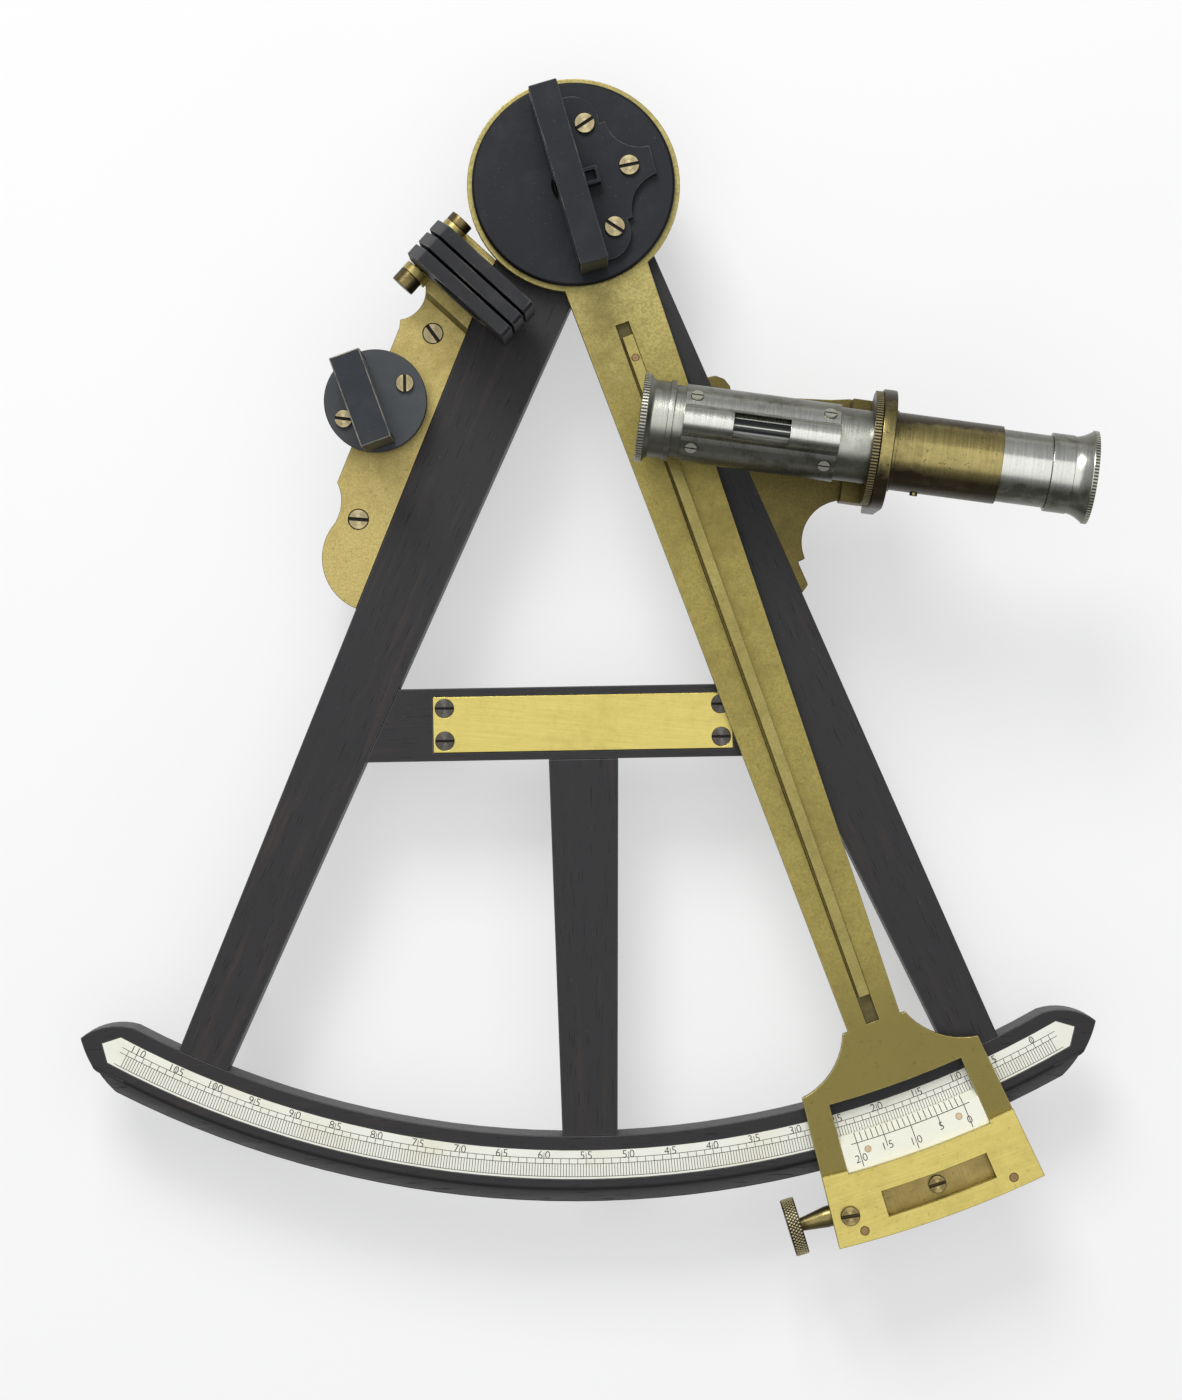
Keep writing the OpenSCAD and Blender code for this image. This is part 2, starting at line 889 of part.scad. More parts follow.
module shade(i) {
    color(black)
        difference() {
            shade_body(i, 0) {
                linear_extrude(shade_t)
                    polygon([
                        [0, shade_low],
                        [shade_l, shade_low],
                        [shade_l, shade_low + shade_h - shade_nick],
                        [shade_l - shade_nick, shade_low + shade_h],
                        [shade_corner, shade_low + shade_h],
                        [-knuckle_r, shade_low + shade_h - shade_corner_h],
                        [-knuckle_r, shade_pin_h],
                        [0, shade_pin_h]
                    ]);
                translate([0, shade_pin_h, 0])
                    cylinder(r = knuckle_r, h = shade_t);
            }
            shade_body(i, cut)
                translate([0, shade_pin_h, 0])
                    cylinder(r = shade_pin_r + run, h = shade_t + 2 * cut);
            shade_body(i, cut)
                translate([glass_x, glass_z, 0])
                    cylinder(r = shade_glass_r, h = shade_t + 2 * cut);
        }
}

module shade_1() {
    shade(1);
}

module shade_2() {
    shade(2);
}

module shade_3() {
    shade(3);
}

module shade_glass(i) {
    color(dark_glass)
        shade_body(i, -(shade_t - glass_t) / 2)
            translate([glass_x, glass_z, 0])
                cylinder(r = shade_glass_r, h = glass_t);
}

module shade_glass_1() {
    shade_glass(1);
}

module shade_glass_2() {
    shade_glass(2);
}

module shade_glass_3() {
    shade_glass(3);
}

// Telescope

bracket_flange_t = 2.3;
bracket_s_top = 58.6;
bracket_s_low = 118;
upright_l = 6.3;
upright_w = 26.4;
upright_gap = 0.8;
collar_at = flange_at + flange_t;
barrel_at = collar_at + collar_t;
draw_at = barrel_at + barrel_l;
eyepiece_at = draw_at + draw_out;

bracket_screw_s = [66, 88, 110];
bracket_screw_drop = 8.3;
module for_bracket_screws() {
    edge_lean = atan((leg_w_top - leg_w_low) / 2 / limb_r_in);
    for (s = bracket_screw_s)
        on_leg(1)
            translate([leg_half(s), -s, top - bracket_screw_drop])
                rotate([0, 0, -edge_lean])
                    rotate([0, 90, 0])
                        translate([0, 0, bracket_flange_t - cut / 2])
                            children();
}

// A point on the face from its place along and across the telescope
function scope_point(x, y) =
    [scope_x + x * cos(scope_dip) + y * sin(scope_dip), y * cos(scope_dip) - x * sin(scope_dip) - scope_drop];

// The bracket's plate reaches from the leg's edge to under the collar
cove_top_r = 9.2;
cove_low_r = 10.9;
cove_top_side = 15;
cove_top_drop = 4.9;
cove_low_side = 15.2;
cove_low_rise = 6;
bracket_lobe_r = 4.6;
bracket_neck_side = 26.9;
bracket_neck_drop = 18.8;
bracket_step = 6.4;
bracket_step_side = 4.5;
bracket_tail = 1.3;
module bracket_plate(h) {
    cove_top = [cove_top_side, bracket_s_top + cove_top_drop, cove_top_r];
    cove_low = [cove_low_side, bracket_s_low - cove_low_rise, cove_low_r];
    margin = 0.5;
    from = collar_at - upright_l - margin;
    to = collar_at + collar_t + margin;
    half = upright_w / 2 + margin;
    difference() {
        on_leg(1)
            linear_extrude(h)
                polygon([
                    beside(0, bracket_s_top),
                    for (a = [60:-30:-30])
                        beside(bracket_lobe_r * cos(a), bracket_s_top + bracket_lobe_r * (1 - sin(a))),
                    beside(bracket_neck_side, bracket_s_top + bracket_neck_drop),
                    leg_point(scope_point(from, half), 1),
                    leg_point(scope_point(to, half), 1),
                    leg_point(scope_point(to, -half), 1),
                    leg_point(scope_point(from, -half), 1),
                    beside(bracket_step_side, bracket_s_low - bracket_step),
                    beside(bracket_flange_t, bracket_s_low - bracket_step),
                    beside(bracket_flange_t, bracket_s_low),
                    beside(0, bracket_s_low + bracket_tail)
                ]);
        for (c = [cove_top, cove_low])
            on_leg(1)
                translate([leg_half(c.y) + c.x, -c.y, -cut])
                    cylinder(r = c.z, h = h + 2 * cut);
    }
}

module scope_bracket() {
    inset = 1.5;
    color(brass)
        difference() {
            union() {
                translate([0, 0, top - bracket_t])
                    bracket_plate(bracket_t);
                translate([0, 0, foot_h + cut / 2])
                    on_leg(1)
                        linear_extrude(frame_t - bracket_t)
                            polygon([
                                beside(0, bracket_s_top + inset),
                                beside(bracket_flange_t - cut / 2, bracket_s_top + 2 * inset),
                                beside(bracket_flange_t - cut / 2, bracket_s_low - inset),
                                beside(0, bracket_s_low - inset)
                            ]);
                on_scope()
                    translate([collar_at - upright_l, -upright_w / 2, -optic_h - cut])
                        cube([upright_l, upright_w, optic_h - flange_r - upright_gap + cut]);
            }
            for_bracket_screws()
                shank_hole(wood_screw, bracket_flange_t + wood_bite);
        }
}

module scope_bracket_screws() {
    color(iron)
        for_bracket_screws()
            slotted_screw(wood_screw, bracket_flange_t + wood_bite);
}

module scope_collar() {
    color(brass)
        difference() {
            union() {
                along_scope(collar_at)
                    cylinder(r = collar_w / 2, h = collar_t);
                on_scope()
                    translate([collar_at, -collar_w / 2, -optic_h])
                        cube([collar_t, collar_w, optic_h]);
            }
            along_scope(collar_at - cut)
                cylinder(r = tube_r + fit, h = collar_t + 2 * cut);
        }
}

module scope_flange() {
    color(brass)
        along_scope(flange_at)
            difference() {
                cylinder(r = flange_r, h = flange_t);
                translate([0, 0, -cut])
                    cylinder(r = tube_r + fit, h = flange_t + 2 * cut);
            }
}

tube_bore = 8;
module scope_tube() {
    color(silver)
        difference() {
            along_scope(cell_l)
                difference() {
                    cylinder(r = tube_r, h = barrel_at - cell_l);
                    translate([0, 0, -cut])
                        cylinder(r = tube_bore, h = barrel_at - cell_l + 2 * cut);
                }
            for_cover_screws()
                shank_hole(cover_screw, cover_screw_l);
        }
}

lens_t = 3;
lens_at = 3;
cell_rim_r = 11;
// A hollow flare from radius r0 at z0 to radius r1, over the length l
flare_n = 6;
function flare(r0, r1, z0, l) = [
    for (i = [0:flare_n]) [r0 + (r1 - r0) * (1 - cos(90 * i / flare_n)), z0 + l * i / flare_n]
];
function reversed(list) = [for (i = [len(list) - 1:-1:0]) list[i]];

module objective_cell() {
    stop_r = 7.4;
    flare_l = 3.2;
    rim_l = 1.7;
    cell_ring_l = 1.5;
    cell_ring_h = 0.35;
    color(silver)
        along_scope(0)
            rotate_extrude()
                polygon(concat(
                    [[stop_r, 0], [cell_rim_r, 0]],
                    reversed(flare(cell_r, cell_rim_r, flare_l, rim_l - flare_l)),
                    [
                        [cell_r, cell_l - cell_ring_l],
                        [cell_r + cell_ring_h, cell_l - cell_ring_l],
                        [cell_r + cell_ring_h, cell_l],
                        [tube_bore, cell_l],
                        [tube_bore, lens_at],
                        [stop_r, lens_at]
                    ]
                ));
}

module objective_lens() {
    curve_r = 30;
    color(clear_glass)
        along_scope(lens_at)
            intersection() {
                cylinder(r = tube_bore - fit, h = lens_t);
                translate([0, 0, lens_t - curve_r])
                    sphere(r = curve_r);
            }
}

cover_back = 2.5;
cover_at = cell_l + cover_back;
cover_l = 38.9;
bulge_r = 4;
bulge_h = 10.5;
cover_wall = 0.6;
cover_screw_inset = 2.8;
cover_screw_turn = 41;
cover_screw_l = 0.8;
vial_r = 2.1;

module along_top(r, h, z) {
    rotate([0, 90, 0])
        translate([-z, 0, 0])
            cylinder(r = r, h = h);
}

module for_cover_screws() {
    for (x = [cover_screw_inset, cover_l - cover_screw_inset])
        for (turn = [-cover_screw_turn, cover_screw_turn])
            on_scope()
                translate([cover_at + x, 0, 0])
                    rotate([turn, 0, 0])
                        translate([0, 0, cell_r - screw_head_h / 2])
                            children();
}

module level_cover() {
    window_l = 14.1;
    window_w = 6.4;
    inner_r = bulge_r - cover_wall;
    color(silver)
        difference() {
            on_scope()
                translate([cover_at, 0, 0])
                    difference() {
                        union() {
                            difference() {
                                along_top(cell_r, cover_l, 0);
                                translate([-cut, -2 * cell_r, -2 * cell_r])
                                    cube([cover_l + 2 * cut, 4 * cell_r, 2 * cell_r]);
                            }
                            translate([0, -bulge_r, 0])
                                cube([cover_l, 2 * bulge_r, bulge_h]);
                            along_top(bulge_r, cover_l, bulge_h);
                        }
                        translate([-cut, 0, 0])
                            along_top(tube_r + fit, cover_l + 2 * cut, 0);
                        translate([cover_wall, -inner_r, 0])
                            cube([cover_l - 2 * cover_wall, 2 * inner_r, bulge_h]);
                        translate([cover_wall, 0, 0])
                            along_top(inner_r, cover_l - 2 * cover_wall, bulge_h);
                        translate([cover_l / 2 - window_l / 2, -window_w / 2, bulge_h])
                            cube([window_l, window_w, 2 * bulge_r]);
                    }
            for_cover_screws()
                sunk_hole(cover_screw, screw_head_h);
        }
}

module level_cover_screws() {
    color(silver)
        for_cover_screws()
            slotted_screw(cover_screw, cover_screw_l);
}

module level_vial() {
    vial_l = 32;
    color(clear_glass)
        on_scope()
            translate([cover_at + (cover_l - vial_l) / 2, 0, 0])
                along_top(vial_r, vial_l, tube_r + fit + vial_r);
}

module scope_barrel() {
    stud_r = 1;
    stud_at = 7.5;
    stud_h = 0.7;
    bead_h = 0.4;
    bead_l = 1.1;
    color(brass)
        along_scope(barrel_at)
            difference() {
                union() {
                    cylinder(r = barrel_r, h = barrel_l);
                    cylinder(r = barrel_r + bead_h, h = bead_l);
                    translate([0, 0, stud_at])
                        rotate([90, 0, 0])
                            cylinder(r = stud_r, h = barrel_r + stud_h);
                }
                translate([0, 0, -cut])
                    cylinder(r = draw_r + run, h = barrel_l + 2 * cut);
            }
}

draw_wall = 0.8;
draw_in = 15.6;
module draw_tube() {
    color(silver)
        along_scope(draw_at - draw_in)
            difference() {
                cylinder(r = draw_r, h = draw_in + draw_out);
                translate([0, 0, -cut])
                    cylinder(r = draw_r - draw_wall, h = draw_in + draw_out + 2 * cut);
            }
}

eye_bore = 4;
eye_seat_r = 6;
eye_lens_t = 3;
module eyepiece() {
    ring_r = draw_r + draw_wall;
    ring_l = eyepiece_l / 2;
    rim_w = 2.5;
    cup_r = eyepiece_rim_r - rim_w;
    lip = 1.3;
    step = 0.2;
    color(silver)
        along_scope(eyepiece_at)
            rotate_extrude()
                polygon(concat(
                    [[eye_seat_r, 0], [ring_r, 0], [ring_r, ring_l]],
                    flare(ring_r - step, eyepiece_rim_r, ring_l, eyepiece_l - lip - ring_l),
                    [
                        [eyepiece_rim_r, eyepiece_l],
                        [cup_r, eyepiece_l],
                        [eye_bore, ring_l],
                        [eye_bore, eye_lens_t],
                        [eye_seat_r, eye_lens_t]
                    ]
                ));
}

module eye_lens() {
    color(clear_glass)
        along_scope(eyepiece_at)
            cylinder(r = eye_seat_r - fit, h = eye_lens_t);
}

// Horizon glass

disc_t = 2.8;
boss_r = 4.5;
lever_t = 4;
disc_top = top + horizon_lift + disc_t;
horizon_back = 2.7;
horizon_screw_gap = 0.15;
horizon_screw_n = [
    horizon_back + horizon_t / 2 + horizon_screw[0] + horizon_screw_gap,
    8.6
];
horizon_screw_along = 1.6;
horizon_screw_turn = [71, -27];

module for_horizon_screws() {
    for (side = [-1, 1])
        on_horizon()
            translate([
                side * horizon_screw_n[side > 0 ? 1 : 0],
                side * horizon_screw_along,
                disc_top
            ])
                rotate([0, 0, side > 0 ? horizon_screw_turn[0] : horizon_screw_turn[1]])
                    children();
}

module horizon_disc() {
    color(black)
        difference() {
            on_horizon() {
                translate([0, 0, top + horizon_lift])
                    cylinder(r = horizon_r, h = disc_t);
                translate([0, 0, top + slip])
                    cylinder(r = boss_r, h = horizon_lift);
                translate([0, 0, foot_h - slip - lever_t])
                    cylinder(r = post_r, h = frame_t + lever_t + horizon_lift);
            }
            for_horizon_screws()
                shank_hole(horizon_screw, disc_t - screw_head_h);
        }
}

module horizon_frame() {
    rim = 1.7;
    sill = horizon_h / 2;
    color(black)
        on_horizon()
            translate([-horizon_back, 0, disc_top])
                difference() {
                    block(horizon_t, horizon_l, horizon_h);
                    translate([horizon_t / 2 - mirror_t, -horizon_l / 2 + rim, rim])
                        cube([mirror_t + cut, horizon_l - 2 * rim, horizon_h - 2 * rim]);
                    translate([-horizon_t, -horizon_l / 2 + 2 * rim, sill])
                        cube([2 * horizon_t, horizon_l - 4 * rim, horizon_h - sill - 2 * rim]);
                }
}

module horizon_mirror() {
    rim = 1.7;
    color(mirror_glass)
        on_horizon()
            translate([horizon_t / 2 - horizon_back - mirror_t, 0, disc_top + rim + fit])
                translate([0, -horizon_l / 2 + rim + fit, 0])
                    cube([mirror_t, horizon_l - 2 * (rim + fit), horizon_h - 2 * (rim + fit)]);
}

module horizon_screws() {
    color(pale_brass)
        for_horizon_screws()
            slotted_screw(horizon_screw, disc_t - screw_head_h);
}

module horizon_lever() {
    lever_w = 8;
    lever_l = 34;
    eye_w = 2;
    color(brass)
        on_horizon()
            translate([0, 0, foot_h - slip - lever_t])
                rotate([0, 0, -leg_angle])
                    difference() {
                        union() {
                            cylinder(r = lever_w / 2 + eye_w, h = lever_t);
                            translate([-lever_w / 2, -lever_l, 0])
                                cube([lever_w, lever_l, lever_t]);
                            translate([0, -lever_l, 0])
                                cylinder(r = lever_w / 2, h = lever_t);
                        }
                        translate([0, 0, -cut])
                            cylinder(r = post_r + fit, h = lever_t + 2 * cut);
                    }
}

// Index arm

seat_t = 1;
groove_d = 1.5;
groove_gap = 0.5;
groove_lead = 3.5;
groove_back = 0.4;
groove_r_in = rib_r_in - groove_lead;
groove_r_out = arm_shoulder_r - groove_back;
slot_half_a = 3.03;
rivet_r = 1.05;
rivet_inset = 2.9;
rivet_at = arm_end_r - rivet_inset;
rivet_a = 4.18;
vernier_pin_r = 0.8;
vernier_pin_inset = 1.3;
vernier_pin_at = seat_r + vernier_pin_inset;
vernier_pin_a = 2.75;
rib_pin_inset = 6;
rib_pin_at = rib_r_in + rib_pin_inset;
rib_pin_r = 0.9;

// The rib's top is an arc over its length
rib_half = (rib_r_out - rib_r_in) / 2;
rib_mid = (rib_r_out + rib_r_in) / 2;
rib_sag = rib_rise - rib_end_h;
rib_arc_r = (rib_half * rib_half + rib_sag * rib_sag) / (2 * rib_sag);
function rib_top(r) = arm_top + rib_rise - rib_arc_r + sqrt(rib_arc_r * rib_arc_r - pow(r - rib_mid, 2));

module arm_hole(at, a, r) {
    place = polar(at, a);
    translate([place.x, place.y, 0])
        cylinder(r = r, h = top + optic_h);
}

module end_slot() {
    arc_band(slot_r_in, slot_r_out, slot_mid_a - slot_half_a, slot_mid_a + slot_half_a, top + optic_h);
}

module end_holes() {
    for (side = [-1, 1])
        arm_hole(rivet_at, side * rivet_a, rivet_r + fit);
    arm_hole(post_arm, -post_a, swivel_screw_size[1] + fit);
    end_slot();
}

module arm_form() {
    corner = polar(flare_r, arm_end_a);
    shoulder = [flare_w / 2, -arm_shoulder_r];
    hollow = arc_centre(shoulder, corner, flare_hollow);
    side_x = arm_shoulder_r * tan(arm_end_a);
    far = arm_end_r + cut;
    cylinder(r = arm_head_r, h = arm_t);
    difference() {
        intersection() {
            linear_extrude(arm_t)
                polygon([
                    [-arm_w_top / 2, 0],
                    [arm_w_top / 2, 0],
                    [arm_w_low / 2, -arm_shoulder_r],
                    [side_x, -arm_shoulder_r],
                    polar(far, arm_end_a),
                    polar(far, -arm_end_a),
                    [-side_x, -arm_shoulder_r],
                    [-arm_w_low / 2, -arm_shoulder_r]
                ]);
            cylinder(r = arm_end_r, h = arm_t, $fn = 360);
        }
        for (side = [-1, 1])
            translate([side * hollow.x, hollow.y, -cut])
                cylinder(r = flare_hollow, h = arm_t + 2 * cut);
    }
}

module index_arm() {
    color(brass)
        on_arm()
            difference() {
                translate([0, 0, arm_z])
                    arm_form();
                translate([0, 0, arm_z - cut])
                    arc_band(window_r_in, seat_r, -window_a, window_a, arm_t + 2 * cut);
                translate([0, 0, arm_z + seat_t])
                    arc_band(seat_r - cut, window_r_out, -window_a, window_a, arm_t + cut);
                translate([-groove_gap / 2, -(groove_r_in + groove_r_out) / 2, arm_top - groove_d])
                    block(rib_w + groove_gap, groove_r_out - groove_r_in, groove_d + cut);
                for (side = [-1, 1])
                    arm_hole(vernier_pin_at, side * vernier_pin_a, vernier_pin_r + fit);
                end_holes();
                cylinder(r = pin_r + fit, h = top + optic_h);
            }
}

module arm_rib() {
    color(brass)
        on_arm()
            difference() {
                intersection() {
                    translate([0, -rib_mid, arm_top - groove_d])
                        block(rib_w, 2 * rib_half, groove_d + rib_rise);
                    translate([-rib_w, -rib_mid, arm_top + rib_rise - rib_arc_r])
                        rotate([0, 90, 0])
                            cylinder(r = rib_arc_r, h = 2 * rib_w, $fn = 360);
                }
                arm_hole(rib_pin_at, 0, rib_pin_r + fit);
            }
}

module arm_pins() {
    pin_proud = 0.2;
    color(brass)
        on_arm() {
            for (side = [-1, 1]) {
                rivet = polar(rivet_at, side * rivet_a);
                translate([rivet.x, rivet.y, arm_z])
                    cylinder(r = rivet_r, h = arm_t + end_plate_t + pin_proud);
                pin = polar(vernier_pin_at, side * vernier_pin_a);
                translate([pin.x, pin.y, arm_z])
                    cylinder(r = vernier_pin_r, h = arm_t + pin_proud);
            }
            translate([0, -rib_pin_at, arm_top - groove_d])
                cylinder(r = rib_pin_r, h = rib_top(rib_pin_at) - arm_top + groove_d + pin_proud);
        }
}

module end_plate() {
    bevel = 0.15;
    lap = 1;
    plate_r_in = window_r_out - lap;
    color(pale_brass)
        on_arm()
            difference() {
                translate([0, 0, arm_top])
                    rotate([0, 0, -arm_end_a - 90])
                        rotate_extrude(angle = 2 * arm_end_a)
                            polygon([
                                [plate_r_in, 0],
                                [arm_end_r, 0],
                                [arm_end_r, end_plate_t],
                                [plate_r_in + bevel, end_plate_t],
                                [plate_r_in, end_plate_t - bevel]
                            ]);
                arc_band(plate_r_in - lap, window_r_out, -window_a, window_a, top + optic_h);
                end_holes();
            }
}

module vernier() {
    lip_lift = 0.4;
    edge_t = 0.8;
    color(bone)
        on_arm()
            difference() {
                rotate([0, 0, -window_a - 90])
                    rotate_extrude(angle = 2 * window_a)
                        polygon([
                            [vernier_r, top + lip_lift],
                            [seat_r - fit, top + lip_lift],
                            [seat_r - fit, arm_z + seat_t],
                            [window_r_out, arm_z + seat_t],
                            [window_r_out, arm_top],
                            [slope_r, arm_top],
                            [vernier_r, top + lip_lift + edge_t]
                        ]);
                for (side = [-1, 1])
                    arm_hole(vernier_pin_at, side * vernier_pin_a, vernier_pin_r + fit);
            }
}

// Index mirror

module mirror_platform() {
    color(black)
        on_index_mirror()
            difference() {
                translate([0, 0, arm_top])
                    cylinder(r = platform_r, h = platform_t);
                cylinder(r = pin_r + fit, h = top + optic_h);
                for_mirror_screws()
                    shank_hole(mirror_screw, base_t + platform_t - screw_head_h);
            }
}

mirror_screw_x = [7, 14.9, 7];
mirror_screw_y = [13.7, 0.3, -13.7];
mirror_screw_turn = [17, -5, -49];
module for_mirror_screws() {
    for (i = [0:2])
        translate([mirror_screw_x[i], mirror_screw_y[i], base_top])
            rotate([0, 0, mirror_screw_turn[i]])
                children();
}

module index_mirror_base() {
    lobe_r = 7;
    lobe_y = 14.5;
    lobe_x = 3.85;
    tongue_l = 21.2;
    tongue_half = 3.75;
    hollow = 9;
    color(black)
        on_index_mirror()
            difference() {
                translate([0, 0, platform_top]) {
                    translate([-index_left - index_t / 2, -lobe_y - lobe_r, 0])
                        cube([index_left + index_t / 2 + lobe_x, 2 * (lobe_y + lobe_r), base_t]);
                    for (side = [-1, 1])
                        translate([lobe_x, side * lobe_y, 0])
                            cylinder(r = lobe_r, h = base_t);
                    difference() {
                        translate([0, -tongue_half - hollow, 0])
                            cube([tongue_l, 2 * (tongue_half + hollow), base_t]);
                        for (side = [-1, 1])
                            translate([tongue_l, side * (tongue_half + hollow), -cut])
                                cylinder(r = hollow, h = base_t + 2 * cut);
                    }
                }
                for_mirror_screws()
                    shank_hole(mirror_screw, base_t + platform_t - screw_head_h);
            }
}

module index_mirror_screws() {
    color(pale_brass)
        on_index_mirror()
            for_mirror_screws()
                slotted_screw(mirror_screw, base_t + platform_t - screw_head_h);
}

index_rim = 2;
module index_mirror_frame() {
    stay_x = 4.4;
    stay_w = 4.6;
    stay_h = 4;
    pit = 2.5;
    pit_d = 2.5;
    color(black)
        on_index_mirror()
            translate([-index_left, 0, base_top])
                difference() {
                    union() {
                        block(index_t, index_l, index_h);
                        translate([0, -stay_w / 2, 0])
                            cube([index_t / 2 + stay_x, stay_w, stay_h]);
                    }
                    translate([-index_t / 2 - cut, -index_l / 2 + index_rim, index_rim])
                        cube([mirror_t + cut, index_l - 2 * index_rim, index_h - 2 * index_rim]);
                    translate([index_t / 2 + stay_x / 2, 0, stay_h - pit_d])
                        block(pit, pit, pit_d + cut);
                }
}

module index_mirror() {
    color(mirror_glass)
        on_index_mirror()
            translate([
                -index_left - index_t / 2,
                -index_l / 2 + index_rim + fit,
                base_top + index_rim + fit
            ])
                cube([mirror_t, index_l - 2 * (index_rim + fit), index_h - 2 * (index_rim + fit)]);
}

nut_flange_t = 1.5;
nut_t = 4.5;
pin_tail = 1;
module centre_pin() {
    from = foot_h - slip - nut_flange_t - nut_t - pin_tail;
    color(brass)
        translate([0, 0, from])
            cylinder(r = pin_r, h = platform_top - from);
}

module centre_nut() {
    nut_r = 8;
    flange = 9.5;
    color(brass)
        translate([0, 0, foot_h - slip - nut_flange_t - nut_t])
            difference() {
                union() {
                    cylinder(r = nut_r, h = nut_t, $fn = 6);
                    translate([0, 0, nut_t])
                        cylinder(r = flange, h = nut_flange_t);
                }
                translate([0, 0, -cut])
                    cylinder(r = pin_r + fit, h = nut_t + nut_flange_t + 2 * cut);
            }
}

// Clamp and tangent screw

swivel_screw_turn = -8;
slide_screw_turn = 1;
swivel_post_r = 3;
swivel_drop = 3.4;
swivel_bite = 1;
slide_bite = 1;
slide_travel = 3;
slide_t = 1.5;
slide_w = 11;
slide_l = 34.6;
nut_w = 12;
nut_half = 5;
nut_drop = 4;
jaw_w = 10;
jaw_gap = 0.8;
jaw_under = 0.6;
lip_gap = 0.4;
lip_t = 2;
jaw_reach = 3;
clamp_reach = 10;
jaw_end_r = limb_r_in + jaw_reach;
clamp_at = limb_r_in + clamp_reach;
screw_z = top - screw_drop;
slide_top = arm_z - slip;
jaw_low = foot_h - jaw_under - jaw_t;
clamp_y = screw_line_r - clamp_at;

module swivel_post() {
    color(brass)
        difference() {
            on_screw(screw_z - swivel_drop)
                cylinder(r = swivel_post_r, h = arm_z - screw_z + swivel_drop);
            on_screw(screw_z)
                rotate([0, 90, 0])
                    translate([0, 0, -2 * swivel_post_r])
                        cylinder(r = shank_r + run, h = 4 * swivel_post_r);
            on_screw(arm_z)
                shank_hole(swivel_screw_size, arm_lift + swivel_bite);
        }
}

module swivel_screw() {
    color(pale_brass)
        on_screw(arm_top + end_plate_t)
            rotate([0, 0, swivel_screw_turn])
                slotted_screw(swivel_screw_size, end_plate_t + arm_t + arm_lift + swivel_bite);
}

module clamp_slide() {
    color(brass)
        difference() {
            union() {
                on_screw(slide_top - slide_t)
                    translate([slide_x, slide_y, 0])
                        block(slide_l, slide_w, slide_t);
                on_screw(screw_z - nut_drop)
                    translate([slide_x, 0, 0])
                        block(nut_w, 2 * nut_half, slide_top - slide_t - screw_z + nut_drop);
            }
            on_screw(screw_z)
                rotate([0, 90, 0])
                    cylinder(r = shank_r + run, h = 2 * slide_x);
            on_screw(slide_top)
                translate([slide_x, slide_y, 0])
                    shank_hole(slide_screw_size, slide_t + slide_bite);
        }
}

module slide_screw() {
    color(pale_brass)
        on_screw(slide_top)
            translate([slide_x, slide_y, 0])
                rotate([0, 0, slide_screw_turn])
                    slotted_screw(slide_screw_size, slide_t + slide_bite);
}

module clamp_jaw() {
    lip_low = top - ledge_depth + lip_gap;
    web_face = screw_line_r - limb_r_out - jaw_gap;
    lip_face = screw_line_r - limb_r_out + ledge_w - jaw_gap;
    jaw_face = screw_line_r - jaw_end_r;
    color(brass)
        difference() {
            on_screw(0)
                translate([slide_x - jaw_w / 2, nut_half, 0]) {
                    translate([0, 0, jaw_low])
                        cube([jaw_w, web_face - nut_half, lip_low + lip_t - jaw_low]);
                    translate([0, 0, lip_low])
                        cube([jaw_w, lip_face - nut_half, lip_t]);
                    translate([0, 0, jaw_low])
                        cube([jaw_w, jaw_face - nut_half, jaw_t]);
                }
            on_screw(jaw_low - cut)
                translate([slide_x, clamp_y, 0])
                    cylinder(r = clamp_shank_r + run, h = jaw_t + 2 * cut);
        }
}

clamp_shank_r = 2;
clamp_head_h = 6;
clamp_neck = 1.5;
clamp_tip_gap = 0.3;
module clamp_screw() {
    color(brass)
        on_screw(jaw_low - clamp_neck - clamp_head_h)
            translate([slide_x, clamp_y, 0]) {
                cylinder(r = clamp_head_r, h = clamp_head_h);
                cylinder(r = clamp_shank_r, h = foot_h - clamp_tip_gap - jaw_low + clamp_neck + clamp_head_h);
            }
}

module tangent_screw() {
    knob_t = 3.5;
    neck_thin = 1.7;
    neck_wide = 2.75;
    shoulder = swivel_post_r + 2 * slip;
    shoulder_l = 2.6;
    collar_r = 2.5;
    collar_l = 1.5;
    tail = slide_x + nut_w / 2 + slide_travel + cut;
    color(brass)
        on_screw(screw_z)
            rotate([90, 0, 90])
                rotate_extrude()
                    polygon([
                        [0, -knob_reach - knob_t / 2],
                        [knob_r, -knob_reach - knob_t / 2],
                        [knob_r, -knob_reach + knob_t / 2],
                        [neck_thin, -knob_reach + knob_t / 2],
                        [neck_wide, -shoulder - shoulder_l],
                        [neck_wide, -shoulder],
                        [shank_r, -shoulder],
                        [shank_r, shoulder],
                        [collar_r, shoulder],
                        [collar_r, shoulder + collar_l],
                        [shank_r, shoulder + collar_l],
                        [shank_r, tail],
                        [0, tail]
                    ]);
}

